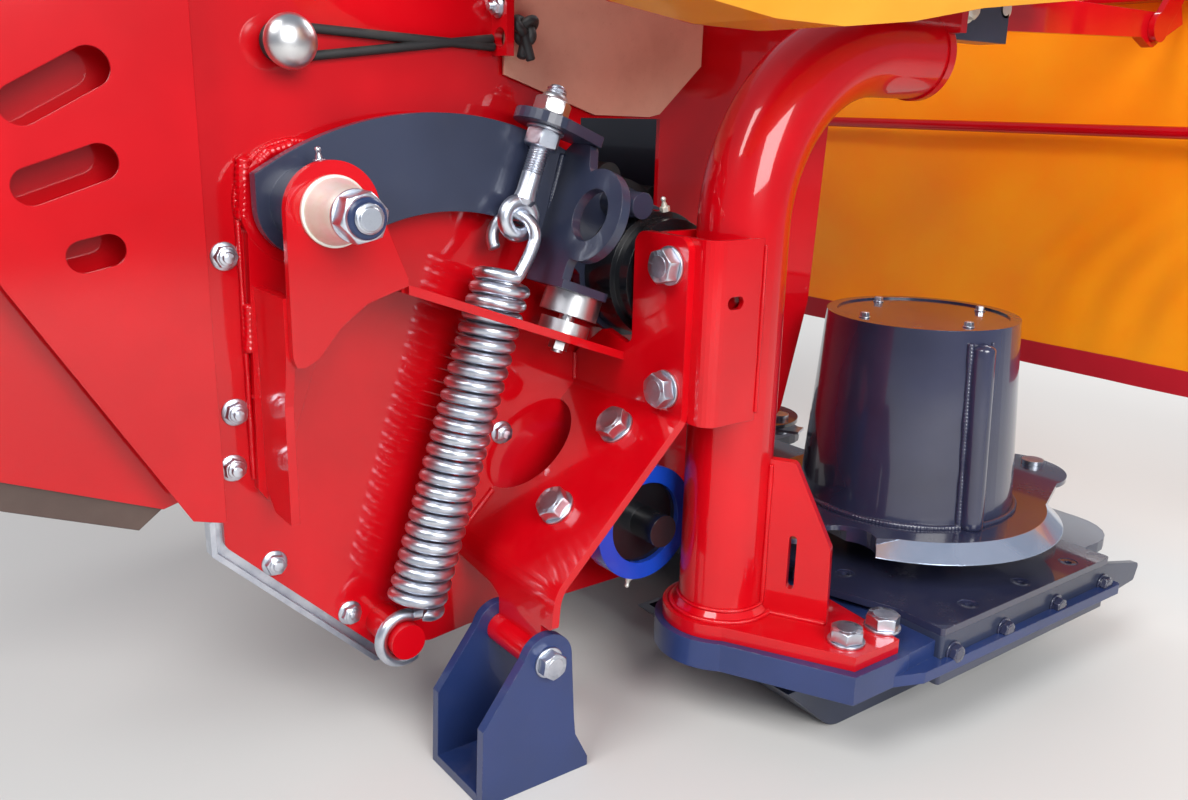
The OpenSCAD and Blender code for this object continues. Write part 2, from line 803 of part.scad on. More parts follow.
module arm_end_bracket() {
    plate_t = 10;
    pad_t = 8;
    edge_u = arm_x - head_c[0];
    color(graphite) at_head() difference() {
        union() {
            plate_y(0, plate_t) union() {
                circle(44);
                polygon(rounded([[edge_u, pad_v, 0], [edge_u, 57, 8], [-60, 66, 4], [-31, 66, 8],
                    [-22, 44, 6], [10, 10, 0], [0, -30, 0], [-12, -46, 12], [-12, pad_v, 0]]));
            }
            plate_z(pad_v, pad_v + pad_t) polygon(rounded([[edge_u, 0, 0], [-9, 0, 0],
                [-9, 62, 12], [edge_u, 62, 6]]));
            plate_z(66, 76) polygon(concat([[-27, plate_t], [edge_u + 4, plate_t]],
                arc([eye_u, eye_w], 32, 180, 360, 16)));
        }
        rod_y(25, -seam, plate_t + seam, 0, 0);
        rod_z(eyebolt_r + hole_gap, 60, 80, eye_u, eye_w);
    }
}

module spring_eyebolt() {
    eye_r = 15;
    eye_wire = 7.5;
    nut_w = 30;
    nut_h = 16;
    washer_r = 18;
    color(zinc) at_head() {
        rod_z(eyebolt_r, eye_v + eye_r, 106, eye_u, eye_w);
        rod_z(washer_r, 76, 79, eye_u, eye_w);
        translate([eye_u, eye_w, 79]) hexagon(nut_w, nut_h);
        translate([eye_u, eye_w, 47]) hexagon(nut_w, nut_h);
        rod_z(washer_r, 63, 66, eye_u, eye_w);
        translate([eye_u, eye_w, eye_v]) rotate([0, 90, 0])
            rotate_extrude() translate([eye_r, 0]) circle(eye_wire, $fn = 24);
    }
}

// Bearings and rollers

neck_r = 32;
neck_far = -150;
rim_x = -66;
rim_end = -47;
ring_x = -45;
housing_r = 44;
ring_r = 62;
roller_near = -155;
tube_wall = 8;
lobes = 8;
lobe_reach = 22;
roller_far = cut_x + 20;

module roller_bearing_tube() {
    color(black) difference() {
        union() {
            rod_x(bearing_r, arm_far - 10, rim_x, upper_y, upper_z);
            rod_x(rim_r, rim_x, rim_end, upper_y, upper_z);
        }
        rod_x(shaft_r + run_gap, arm_far - 10 - seam, rim_x + 5, upper_y, upper_z);
    }
}

module upper_bearing_neck() {
    color(black) difference() {
        rod_x(neck_r, neck_far, arm_far - 10, upper_y, upper_z);
        rod_x(shaft_r + run_gap, neck_far - seam, arm_far - 10 + seam, upper_y, upper_z);
    }
}

module lower_bearing_housing() {
    color(black) difference() {
        union() {
            rod_x(housing_r, side_x, ring_x, lower_y, lower_z);
            rod_x(17, ring_x, ring_x + 34, lower_y, lower_z);
            rod_x(shaft_r + 5.9, neck_far, side_x, lower_y, lower_z);
        }
        rod_x(shaft_r + run_gap, neck_far - seam, ring_x - 10, lower_y, lower_z);
    }
}

module lower_bearing_ring() {
    color(ring_blue) difference() {
        rod_x(ring_r, ring_x - 22, ring_x + 6, lower_y, lower_z);
        rod_x(housing_r, ring_x - 22 - seam, ring_x + 6 + seam, lower_y, lower_z);
    }
}

module roller_core(y, z, end_x) {
    tube_r = roller_r - lobe_reach;
    color(graphite) difference() {
        union() {
            rod_x(tube_r, roller_far, roller_near, y, z);
            rod_x(shaft_r, roller_near, end_x, y, z);
            rod_x(shaft_r, cut_x + 10, roller_far, y, z);
            rod_x(60, cut_x, cut_x + 10, y, z);
        }
        rod_x(tube_r - tube_wall, roller_far + 10, roller_near - 10, y, z);
        for (a = [45:90:315]) translate([0, y, z]) rotate([a, 0, 0])
            rod_x(5.5, cut_x - seam, cut_x + 10 + seam, 45, 0);
    }
}

module roller_lobes(y, z, phase) {
    tube_r = roller_r - lobe_reach;
    color(rubber) plate_x(roller_far, roller_near) translate([y, z]) difference() {
        union() {
            circle(tube_r + 8);
            for (i = [0:lobes - 1]) rotate(phase + i * 360 / lobes) translate([roller_r - 16, 0])
                circle(16);
        }
        circle(tube_r);
    }
}

module upper_roller_core() roller_core(upper_y, upper_z, rim_x);

module upper_roller_lobes() roller_lobes(upper_y, upper_z, 0);

module lower_roller_core() roller_core(lower_y, lower_z, ring_x - 14);

module lower_roller_lobes() roller_lobes(lower_y, lower_z, 180 / lobes);

// Discs, drum and knives

disc_low = disc_top - disc_t;
knife_low = 160;
knife_t = 4;
knife_bolt = 236;
lobe_end_r = 69;
bevel = 20;
notch_a = 26;
disc_phase_1 = 82.5;
disc_phase_2 = 26;
drum_wall = 4;
lid_t = 4;
lid_drop = 2;
drum_low = disc_top - 3;

module disc(x, angle) {
    translate([x, 0, 0]) rotate([0, 0, angle]) difference() {
        union() {
            plate_z(disc_low, disc_top) union() {
                circle(disc_r - bevel);
                for (s = [0, 180]) rotate(s) {
                    translate([lobe_r - lobe_end_r, 0]) circle(lobe_end_r);
                    polygon([[0, 30 - disc_r], [100, -125], [lobe_r - lobe_end_r + 6, 1 - lobe_end_r],
                        [lobe_r - lobe_end_r + 6, lobe_end_r - 1], [100, 125], [0, disc_r - 30]]);
                }
            }
            translate([0, 0, knife_low]) cylinder(r1 = disc_r, r2 = disc_r - bevel,
                h = disc_top - knife_low);
            rod_z(58, bed_top + seat_h + 1, knife_low);
            rod_z(spindle_r, spindle_low, bed_top + seat_h + 1);
        }
        for (s = [0, 180]) rotate([0, 0, s]) {
            rod_z(6 + hole_gap, disc_low - 20, disc_top + seam, knife_bolt, 0);
            rotate([0, 0, notch_a]) rod_z(35, disc_low - 20, disc_top + seam, 190, 0);
            block([disc_r - 40, -lobe_end_r - 16, knife_low - seam],
                [lobe_r + 20, lobe_end_r + 16, disc_low]);
        }
    }
}

module disc_1() color(graphite) disc(0, disc_phase_1);

module disc_2() color(graphite) disc(-disc_pitch, disc_phase_2);

module knife() {
    width = 36;
    rod_z(6, knife_low - 6, disc_top + 6, knife_bolt, 0);
    rod_z(14, disc_top, disc_top + 6, knife_bolt, 0);
    rod_z(13, knife_low - 6, knife_low, knife_bolt, 0);
    difference() {
        plate_z(knife_low, knife_low + knife_t) polygon([[knife_bolt - 22, -width / 2],
            [knife_r - 2, -width / 2 + 4], [knife_r - 2, width / 2 - 4], [knife_bolt - 22, width / 2]]);
        rod_z(6, knife_low - seam, knife_low + knife_t + seam, knife_bolt, 0);
    }
    difference() {
        rod_z(10, knife_low + knife_t, disc_low, knife_bolt, 0);
        rod_z(6, knife_low, disc_low + seam, knife_bolt, 0);
    }
}

module knives(x, angle) {
    color(zinc) for (s = [0, 180]) translate([x, 0, 0]) rotate([0, 0, angle + s]) knife();
}

module blades_1() knives(0, disc_phase_1);

module blades_2() knives(-disc_pitch, disc_phase_2);

module drum() {
    bar_a = -18;
    color(graphite) difference() {
        union() {
            translate([0, 0, disc_top]) cylinder(r1 = drum_foot_r, r2 = drum_head_r,
                h = drum_top - disc_top);
            for (a = [bar_a, bar_a + 180]) rotate([0, 0, a]) intersection() {
                rod_z(13, disc_top, drum_top - 22, drum_head_r + 4, 0);
                block([0, -20, disc_top], [drum_foot_r + 8, 20, drum_top]);
            }
        }
        translate([0, 0, disc_top - seam]) cylinder(r1 = drum_foot_r - drum_wall,
            r2 = drum_head_r - drum_wall, h = drum_top - disc_top - lid_t - lid_drop - 6);
        rod_z(drum_head_r - 20, drum_top - 40, drum_top + seam);
        rod_z(drum_head_r - 12, drum_top - lid_drop - lid_t, drum_top + seam);
    }
}

module drum_lid() {
    color(graphite) rod_z(drum_head_r - 12, drum_top - lid_drop - lid_t, drum_top - lid_drop);
}

// Guards beside and behind the side plate

guard_t = 3;
fold_y = -790;
guard_low = 271;
return_y = -746;
guard_slots = [[-923, 610, -849, 652, 15], [-922, 555, -848, 581, 14], [-891, 504, -848, 513, 12.5]];
deflector_x = -160;

// A slot's outline between the outer ends of its two round ends
module guard_slot(s) {
    dir = unit([s[2] - s[0], s[3] - s[1]]);
    a = [s[0], s[1]] + dir * s[4];
    b = [s[2], s[3]] - dir * s[4];
    side = [-dir[1], dir[0]] * s[4];
    dot(a[0], a[1], s[4]);
    dot(b[0], b[1], s[4]);
    polygon([a + side, b + side, b - side, a - side]);
}

module slotted_guard() {
    back_x = side_far - guard_t;
    color(red) {
        difference() {
            plate_x(guard_x - guard_t, guard_x) polygon([[fold_y, side_top], [fold_y, guard_low],
                [-815, 278], [-guard_back + 103, 490], [-guard_back, 680], [-guard_back, side_top]]);
            plate_x(guard_x - guard_t - seam, guard_x + seam) for (s = guard_slots) guard_slot(s);
        }
        block([back_x, fold_y, guard_low], [guard_x, fold_y + guard_t, side_top]);
        difference() {
            block([back_x, fold_y, guard_low], [side_far, return_y, side_top]);
            for (b = [side_bolts[0], side_bolts[1], side_bolts[2]])
                rod_x(5.5, back_x - seam, side_far + seam, b[0], b[1]);
        }
    }
}

module rear_deflector() {
    front_y = -752;
    color(red) {
        plate_x(deflector_x - guard_t, deflector_x) polygon([[front_y, side_top], [front_y, 300],
            [-828, 278], [-guard_back + 91, 327], [-guard_back, 368], [-guard_back, side_top]]);
        for (z = [340, 700]) rod_x(12, deflector_x, side_far - guard_t, -765, z);
    }
}

module deflector_lip() {
    lip_t = 4;
    back_x = deflector_x - guard_t - lip_t;
    color(rubber) plate_x(back_x, back_x + lip_t) polygon([[-824, 320], [-828, 278], [-849, 262],
        [-guard_back + 91, 301], [-guard_back, 342], [-guard_back, 400], [-guard_back + 91, 359]]);
}

// The strip is an angle bolted behind the side plate, with its lip below the plate's edge
module strip_band(inner, outer) {
    polygon([[-side_rear - outer, 268], [-side_rear - outer, 241 - outer * 0.4],
        [-643 - outer * 0.4, 100 - outer], [-636, 100 - outer], [-636 + inner * 0.2, 100 - inner],
        [-643 - inner * 0.4, 100 - inner], [-side_rear - inner, 241 - inner * 0.4],
        [-side_rear - inner, 268]]);
}

module bottom_strip() {
    strip_t = 5;
    color(zinc) {
        difference() {
            plate_x(side_far - strip_t, side_far) strip_band(-40, 13);
            for (b = strip_bolts) rod_x(5.5, side_far - strip_t - seam, side_far + seam, b[0], b[1]);
        }
        plate_x(side_far - strip_t, side_x + 4) strip_band(8, 13);
    }
}

module latch_knob() {
    knob = [-712, 670];
    dome_r = 18;
    color(zinc) {
        rod_x(8, side_x, side_x + 20, knob[0], knob[1]);
        translate([side_x + 24, knob[0], knob[1]]) sphere(dome_r);
    }
}

module loop_bracket() {
    color(red) difference() {
        block([side_x, -508, 668], [side_x + 26, -500, 740]);
        for (z = [684, 716]) rod_y(9, -509, -499, side_x + 14, z);
    }
}

module elastic_loop() {
    cord_r = 4;
    cross_a = [7.5, 2];
    x = side_x + 5;
    color(rubber) {
        translate([x, -712, 670]) rotate([0, 90, 0]) rotate_extrude() translate([13.2, 0])
            circle(cord_r + 0.3, $fn = 24);
        for (s = [-1, 1]) translate([x, -712, 670 + s * 13.2])
            rotate([-90 - s * cross_a[s < 0 ? 0 : 1], 0, 0])
            cylinder(r = cord_r, h = 203, $fn = 24);
    }
}

module hex_shield() {
    spacer = 3;
    color(shield_grey) {
        plate_x(side_x + spacer, side_x + spacer + guard_t) polygon([[-498, 652], [-391, 617],
            [-320, 616], [-306, 619], [-251, 669], [-250, side_top], [-498, side_top]]);
        for (y = [-480, -270]) rod_x(10, side_x, side_x + spacer, y, 720);
    }
}

// Header beam, covers and the front guard

beam_low = side_top;
beam_rear = -80;
roof_rear = -740;
roof_t = 6;
plate_end_t = 10;
end_plate_far = -36;
end_plate_near = 74;
end_plate_low = 705;
cover_x = end_plate_near + guard_t;
cover_w = 90;
cover_wall = 4;
cover_top = 890;
crown_r = (cover_top - 742) * 0.3;
arm_near_x = 34;
arm_far_x = cut_x + 80;
guard_arm_low = 711;
guard_arm_top = 755;
rail_s = 30;
rail_low = 775;
rail_rear = curtain_front - rail_s;
arm_bolts = [[-60, 730], [11, 735]];

module header_beam() {
    color(red) difference() {
        union() {
            block([cut_x, beam_rear, beam_low], [beam_end, beam_rear + beam_s, beam_low + beam_s]);
            block([cut_x, beam_rear - 20, beam_low], [cut_x + 12, beam_rear + beam_s + 20,
                beam_low + beam_s + 20]);
        }
        block([cut_x - seam, beam_rear + beam_wall, beam_low + beam_wall], [beam_end + seam,
            beam_rear + beam_s - beam_wall, beam_low + beam_s - beam_wall]);
        for (y = [beam_rear - 8, beam_rear + beam_s + 8], z = [beam_low + 24, beam_low + beam_s - 24])
            rod_x(7, cut_x - seam, cut_x + 12 + seam, y, z);
    }
}

module header_end_plate() {
    color(red) plate_y(beam_rear - plate_end_t, beam_rear) union() {
        translate([post_x, post_top]) circle(post_r + 2);
        translate([end_plate_far, end_plate_low])
            square([end_plate_near - end_plate_far, beam_low + beam_s - end_plate_low]);
    }
}

module cover_outline(inset = 0) {
    polygon(rounded([[-580 + inset, 724 + inset, 30], [-534 + inset, 702 + inset, 20],
        [-448, 691 + inset, 60], [-372, 690 + inset, 60], [-287, 699 + inset, 60],
        [-191, 716 + inset, 60],
        [60 - inset, 745 + inset, crown_r / 2], [60 - inset, cover_top - inset, crown_r],
        [-580 + inset, cover_top - inset, crown_r]]));
}

module belt_cover() {
    color(cover_yellow) difference() {
        plate_x(cover_x, cover_x + cover_w) cover_outline();
        plate_x(cover_x - seam, cover_x + cover_w - cover_wall) cover_outline(cover_wall);
    }
}

module cover_backplate() {
    color(red) plate_x(end_plate_near, cover_x) cover_outline(0);
}

module guard_bracket() {
    ear_t = 10;
    color(graphite) {
        for (x = [arm_near_x - 0.5 - ear_t, arm_near_x + guard_arm_t + 0.5]) difference() {
            plate_x(x, x + ear_t) polygon([[beam_rear, 762], [beam_rear, 700], [17, 700],
                [17, 730], [-20, 750]]);
            for (b = [arm_bolts[0]]) rod_x(10 + hole_gap, x - seam, x + ear_t + seam, b[0], b[1]);
        }
        block([arm_near_x - 0.5, beam_rear, 700], [arm_near_x + guard_arm_t + 0.5, 17, 708]);
    }
}

module guard_arm(x, rear) {
    difference() {
        union() {
            plate_x(x, x + guard_arm_t) polygon(rounded([[rear, guard_arm_low, 6],
                [hinge_front - 30, 724, 0], [hinge_front, 712, 12], [hinge_front + 18, 722, 0],
                [curtain_front - 10, 745, 0], [curtain_front - 24, rail_low, 0],
                [rail_rear - 2, rail_low, 0], [rail_rear - 16, guard_arm_top, 10],
                [rear, guard_arm_top, 6]]));
        }
        rod_x(foot_bolt_r + run_gap, x - seam, x + guard_arm_t + seam, hinge_front, hinge_z);
        for (b = arm_bolts) rod_x(10 + hole_gap, x - seam, x + guard_arm_t + seam, b[0], b[1]);
    }
}

module guard_arm_near() color(red) guard_arm(arm_near_x, beam_rear);

module guard_arm_far() {
    color(red) {
        guard_arm(arm_far_x, beam_rear + beam_wall);
        block([arm_far_x, beam_rear + 10, guard_arm_top], [arm_far_x + guard_arm_t, 30, beam_low]);
    }
}

module housing_roof() {
    color(red) block([cut_x, roof_rear, side_top - roof_t], [side_far, beam_rear + 2, side_top]);
}

// The hood hangs below the roof, ahead of the upper roller, and turns the crop down into the rollers
module crop_hood() {
    hood_y = -203;
    low = 455;
    color(graphite) plate_x(cut_x, side_far) polygon([[hood_y, side_top - roof_t],
        [hood_y + guard_t, side_top - roof_t], [hood_y + guard_t, low + 45], [hood_y + 28, low],
        [hood_y + 26, low - 2], [hood_y, low + 44]]);
}

hanger_xs = [cut_x + 60, 180];
hanger_t = 6;
side_arm_t = 8;

module hinge_side(x, pin_from, pin_to) {
    plate_x(x, x + side_arm_t) union() {
        dot(hinge_front, hinge_z, 18);
        polygon([[hinge_front - 18, hinge_z], [hinge_front + 18, hinge_z],
            [rail_rear, rail_low], [rail_rear, rail_low + rail_s], [rail_rear - 14, rail_low + rail_s]]);
    }
    rod_x(foot_bolt_r, pin_from, pin_to, hinge_front, hinge_z);
}

module curtain_frame() {
    near = arm_near_x + guard_arm_t + 0.5;
    far = arm_far_x + guard_arm_t + 0.5;
    color(red) {
        block([cut_x, rail_rear, rail_low], [curtain_end, curtain_front, rail_low + rail_s]);
        hinge_side(near, near - guard_arm_t - 0.5, near);
        hinge_side(far, far - guard_arm_t - 0.5, far);
        for (x = hanger_xs) difference() {
            plate_x(x, x + hanger_t) polygon([[rail_rear, rail_low],
                [curtain_front - 6, rail_low], [rod_y0 + 13, rod_z0 - 14], [rod_y0 - 13, rod_z0 - 14]]);
            rod_x(rod_r + run_gap, x - seam, x + hanger_t + seam, rod_y0, rod_z0);
        }
    }
}

rod_y0 = 405;
rod_z0 = 610;
rod_r = 8;

module curtain_rod() {
    color(red) rod_x(rod_r, cut_x + 20, curtain_end - 10, rod_y0, rod_z0);
}

module front_curtain() {
    color(curtain_orange) block([cut_x, curtain_front, curtain_low],
        [curtain_end, curtain_front + curtain_t, rail_low + rail_s]);
}

cutterbar_trough();
cutterbar_top_plate();
rear_skid_extension();
end_shoe();
inner_shoe();
rock_guard_1();
rock_guard_2();
foot_flange();
foot_gusset();
upright_tube();
post_channel();
support_bracket();
side_plate();
pivot_doubler();
pivot_rib();
pivot_outer_plate();
pivot_bolt();
stop_ledge();
stop_buffer();
spring_anchor();
lower_bearing_housing();
lower_bearing_ring();
slotted_guard();
rear_deflector();
deflector_lip();
bottom_strip();
latch_knob();
loop_bracket();
elastic_loop();
hex_shield();
belt_cover();
cover_backplate();
header_beam();
header_end_plate();
guard_bracket();
guard_arm_near();
guard_arm_far();
housing_roof();
crop_hood();
swing_arm();
arm_end_bracket();
roller_bearing_tube();
upper_bearing_neck();
spring_eyebolt();
tension_spring();
upper_roller_core();
upper_roller_lobes();
lower_roller_core();
lower_roller_lobes();
disc_1();
drum();
drum_lid();
blades_1();
disc_2();
blades_2();
rear_skid_foot();
foot_bolt();
curtain_frame();
curtain_rod();
front_curtain();
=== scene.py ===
import json
import math

import bmesh
import bpy
import numpy as np
from mathutils import Matrix, Vector


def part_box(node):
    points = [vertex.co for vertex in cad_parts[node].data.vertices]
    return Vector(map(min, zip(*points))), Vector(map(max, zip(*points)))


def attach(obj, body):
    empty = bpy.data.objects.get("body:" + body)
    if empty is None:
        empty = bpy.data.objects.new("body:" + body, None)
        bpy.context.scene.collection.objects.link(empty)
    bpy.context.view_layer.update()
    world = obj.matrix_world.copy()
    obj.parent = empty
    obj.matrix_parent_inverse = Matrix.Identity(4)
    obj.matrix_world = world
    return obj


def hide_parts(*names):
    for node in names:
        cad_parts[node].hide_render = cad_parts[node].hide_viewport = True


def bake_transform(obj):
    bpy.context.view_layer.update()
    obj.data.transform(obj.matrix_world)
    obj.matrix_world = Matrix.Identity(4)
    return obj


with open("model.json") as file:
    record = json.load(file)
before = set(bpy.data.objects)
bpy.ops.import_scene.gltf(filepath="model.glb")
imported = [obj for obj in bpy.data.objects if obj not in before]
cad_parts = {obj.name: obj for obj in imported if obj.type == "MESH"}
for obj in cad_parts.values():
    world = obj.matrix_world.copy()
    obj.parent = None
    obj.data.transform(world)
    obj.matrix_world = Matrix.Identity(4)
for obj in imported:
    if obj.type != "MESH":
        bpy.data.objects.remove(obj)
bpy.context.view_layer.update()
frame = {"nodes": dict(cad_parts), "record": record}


# Camera
# The view is from behind the machine's outer end, a little above the skid foot, looking
# forwards and inwards over the roller arm to the outer disc.
CAMERA_AT = (0.752, -1.050, 0.625)
CAMERA_YAW = math.radians(52.92)
CAMERA_PITCH = math.radians(15.48)
CAMERA_ROLL = math.radians(1.39)
SENSOR = 36.0
FOCAL_PIXELS = 1058.6
IMAGE_WIDTH = 1188


def aimed(at, yaw, pitch, roll):
    """Matrix of a camera that looks along a compass angle from +Y towards -X, tipped down by
    pitch and then turned about its own axis by roll."""
    ahead = np.array([-math.sin(yaw) * math.cos(pitch), math.cos(yaw) * math.cos(pitch), -math.sin(pitch)])
    level = np.array([math.cos(yaw), math.sin(yaw), 0.0])
    upward = np.cross(level, ahead)
    right = math.cos(roll) * level + math.sin(roll) * upward
    up = math.cos(roll) * upward - math.sin(roll) * level
    turn = Matrix([right, up, -ahead]).transposed().to_4x4()
    turn.translation = at
    return turn


camera_data = bpy.data.cameras.new("camera")
camera_data.sensor_width = SENSOR
camera_data.lens = FOCAL_PIXELS / IMAGE_WIDTH * SENSOR
camera = bpy.data.objects.new("camera", camera_data)
camera.matrix_world = aimed(CAMERA_AT, CAMERA_YAW, CAMERA_PITCH, CAMERA_ROLL)
bpy.context.scene.collection.objects.link(camera)
bpy.context.scene.camera = camera
bpy.context.scene.view_settings.view_transform = "Standard"


# Paints and metals
# Fabricated steel is powder coated in gloss red, the cutterbar and arm are sprayed a satin
# blue-grey, and fasteners are zinc plated. Coats are thick enough to round every edge a little.
MM = 0.001
CLOUD_MM, PATCH_MM, CHIP_MM, STREAK_MM = 160, 55, 7, 70
SPECK_MM, GRAIN_MM, GRAIN_DEPTH_MM = 3, 0.9, 0.012
CLOTH_CLOUD_MM = 180
COAT_ROUNDING = 1.3 * MM
PLATE_ROUNDING = 0.6 * MM
FIELD_DUST = "#9a8d7c"
BARE_STEEL = "#8a8a8c"


def linear(code):
    """Linear red, green, blue and alpha of an sRGB hex colour."""
    parts = [int(code[i : i + 2], 16) / 255 for i in (1, 3, 5)]
    return [p / 12.92 if p <= 0.04045 else ((p + 0.055) / 1.055) ** 2.4 for p in parts] + [1.0]


def add(tree, kind, inputs=None, **settings):
    """A node of that kind with its settings, and its inputs set to values or linked to sockets."""
    made = tree.nodes.new(kind)
    for key, value in settings.items():
        setattr(made, key, value)
    for key, value in (inputs or {}).items():
        if isinstance(value, bpy.types.NodeSocket):
            tree.links.new(value, made.inputs[key])
        else:
            made.inputs[key].default_value = value
    return made


def blended(tree, share, low, high):
    """Colour that runs from one colour to another, hex or linked, as share goes from 0 to 1."""
    mix = add(tree, "ShaderNodeMix", {"Factor": share}, data_type="RGBA")
    for socket, colour in ((mix.inputs[6], low), (mix.inputs[7], high)):
        if isinstance(colour, str):
            socket.default_value = linear(colour)
        else:
            tree.links.new(colour, socket)
    return mix.outputs[2]


def ranged(tree, value, low, high, out_low, out_high):
    """Value mapped from one range to another and clamped."""
    inputs = {"Value": value, 1: low, 2: high, 3: out_low, 4: out_high}
    return add(tree, "ShaderNodeMapRange", inputs).outputs[0]


def times(tree, one, other):
    """Product of two values."""
    return add(tree, "ShaderNodeMath", {0: one, 1: other}, operation="MULTIPLY").outputs[0]


def material(name, shader_inputs):
    """A principled material with its shader's own values set, its tree and its object coordinates."""
    made = bpy.data.materials.new(name)
    made.use_nodes = True
    tree = made.node_tree
    shader = tree.nodes["Principled BSDF"]
    for key, value in shader_inputs.items():
        shader.inputs[key].default_value = value
    place = add(tree, "ShaderNodeTexCoord").outputs["Object"]
    return made, tree, shader, place


def noise(tree, place, size_mm, detail=3, rough=0.5):
    """Cloudy pattern whose blotches are about size_mm across."""
    inputs = {"Vector": place, "Scale": 1000 / size_mm, "Detail": detail, "Roughness": rough}
    return add(tree, "ShaderNodeTexNoise", inputs).outputs["Fac"]


def coat(
    name, dark, light, roughness, peel_mm, peel_depth,
    dust_share=0.08, clear=0.0, worn=0.0, rim=None, specular=0.5,
):
    """Sprayed coat: a colour that varies slightly in broad clouds, orange peel as a fine bump,
    rounded edges that show bare metal where they are worn, and thin dust in broad patches. With a
    rim colour, a face that slopes up as a disc's bevel does gets bright steel in streaks: partly
    rubbed bare steel, partly a painted highlight of the light that falls on the upturned bevel."""
    inputs = {"IOR": 1.5, "Coat Weight": clear, "Coat Roughness": 0.05, "Specular IOR Level": specular}
    made, tree, shader, place = material(name, inputs)
    body = blended(tree, ranged(tree, noise(tree, place, CLOUD_MM), 0.35, 0.65, 0, 1), dark, light)
    geometry = add(tree, "ShaderNodeNewGeometry")
    patches = ranged(tree, noise(tree, place, PATCH_MM, 6, 0.65), 0.5, 0.75, 0, 1)
    upward = add(tree, "ShaderNodeSeparateXYZ", {0: geometry.outputs["Normal"]}).outputs[2]
    film = times(tree, patches, ranged(tree, upward, 0.2, 0.95, 0.15, 1))
    dusted = blended(tree, times(tree, film, dust_share), body, FIELD_DUST)
    edge = add(tree, "ShaderNodeBevel", {"Radius": COAT_ROUNDING}, samples=4).outputs[0]
    normals = {0: edge, 1: geometry.outputs["Normal"]}
    flatness = add(tree, "ShaderNodeVectorMath", normals, operation="DOT_PRODUCT").outputs[1]
    rubbed = ranged(tree, flatness, 0.9, 0.99, 1, 0)
    chips = times(tree, rubbed, ranged(tree, noise(tree, place, CHIP_MM, 4, 0.7), 0.56, 0.66, 0, 1))
    colour = blended(tree, times(tree, chips, worn), dusted, BARE_STEEL)
    # Rim colour: worn steel and a painted highlight together, bright blue-white metal on faces that slope up
    if rim:
        steep = ranged(tree, upward, 0.6, 0.68, 0, 1)
        sloping = times(tree, steep, ranged(tree, upward, 0.8, 0.88, 1, 0))
        streaks = ranged(tree, noise(tree, place, STREAK_MM, 2), 0.3, 0.5, 0.7, 1)
        share = times(tree, sloping, streaks)
        colour = blended(tree, share, colour, rim)
        tree.links.new(times(tree, share, 0.85), shader.inputs["Metallic"])
    tree.links.new(colour, shader.inputs["Base Color"])
    tree.links.new(ranged(tree, film, 0, 1, roughness, roughness + 0.1), shader.inputs["Roughness"])
    peel = noise(tree, place, peel_mm, 2)
    relief = {"Height": peel, "Distance": peel_depth * MM, "Strength": 1.0, "Normal": edge}
    bump = add(tree, "ShaderNodeBump", relief)
    tree.links.new(bump.outputs[0], shader.inputs["Normal"])
    return made


def plated(name, bright, dull, roughness, cloud_mm=24, metallic=1.0):
    """Electroplated steel: a bright metal with soft clouds a few centimetres wide, fine dull
    specks and a slight grain from rolling or turning."""
    made, tree, shader, place = material(name, {"Metallic": metallic})
    clouds = ranged(tree, noise(tree, place, cloud_mm, 3), 0.38, 0.68, 0, 0.75)
    specks = ranged(tree, noise(tree, place, SPECK_MM, 4, 0.7), 0.58, 0.72, 0, 0.35)
    both = add(tree, "ShaderNodeMath", {0: clouds, 1: specks}, operation="ADD").outputs[0]
    tree.links.new(blended(tree, both, bright, dull), shader.inputs["Base Color"])
    tree.links.new(ranged(tree, both, 0, 1, roughness, roughness + 0.14), shader.inputs["Roughness"])
    edge = add(tree, "ShaderNodeBevel", {"Radius": PLATE_ROUNDING}, samples=4).outputs[0]
    grain = noise(tree, place, GRAIN_MM, 2)
    bump = add(tree, "ShaderNodeBump", {"Height": grain, "Distance": GRAIN_DEPTH_MM * MM, "Normal": edge})
    tree.links.new(bump.outputs[0], shader.inputs["Normal"])
    return made


def cloth(name, dark, light, roughness, thread_mm, depth_mm, glow=0.0):
    """Coated cloth: a plain weave of crossed threads shows faintly through the coat as a bump,
    over a colour with soft clouds a hand's width across. With glow, light also seeps through it."""
    inputs = {
        "Specular IOR Level": 0.25,
        "Sheen Weight": 0.1,
        "Subsurface Weight": glow,
        "Subsurface Scale": 4 * MM,
        "Subsurface Radius": (1.0, 0.7, 0.15),
    }
    made, tree, shader, place = material(name, inputs)
    body = blended(tree, ranged(tree, noise(tree, place, CLOTH_CLOUD_MM, 4), 0.35, 0.65, 0, 1), dark, light)
    tree.links.new(body, shader.inputs["Base Color"])
    shader.inputs["Roughness"].default_value = roughness
    parts = add(tree, "ShaderNodeSeparateXYZ", {0: place}).outputs
    turns = 2 * math.pi / (thread_mm * MM)
    wefts = add(tree, "ShaderNodeMath", {0: times(tree, parts[0], turns)}, operation="SINE").outputs[0]
    warps = add(tree, "ShaderNodeMath", {0: times(tree, parts[2], turns)}, operation="SINE").outputs[0]
    weave = times(tree, wefts, warps)
    bump = add(tree, "ShaderNodeBump", {"Height": weave, "Distance": depth_mm * MM, "Strength": 0.5})
    tree.links.new(bump.outputs[0], shader.inputs["Normal"])
    return made


# Each coat gives its two colours, roughness, the width and depth of its orange peel in mm, and dust.
# Thick gloss powder coat over welded steel
red_powder_coat = coat("red_powder_coat", "#b8000c", "#cb0413", 0.3, 7, 0.03, 0.03, clear=0.8, specular=0.12)
# Gloss enamel of the discs and the drum, which stubble chips and rubs to steel on the discs' bevels, with a
# blue-white painted highlight laid over that steel on the upturned bevels
disc_film = {"dust_share": 0.06, "clear": 0.8, "worn": 0.7}
disc_paint = coat("disc_paint", "#24263c", "#30334d", 0.22, 9, 0.04, **disc_film)
rubbed_highlit_disc = coat("rubbed_highlit_disc", "#24263c", "#30334d", 0.22, 9, 0.04, rim="#c4d0e6", **disc_film)
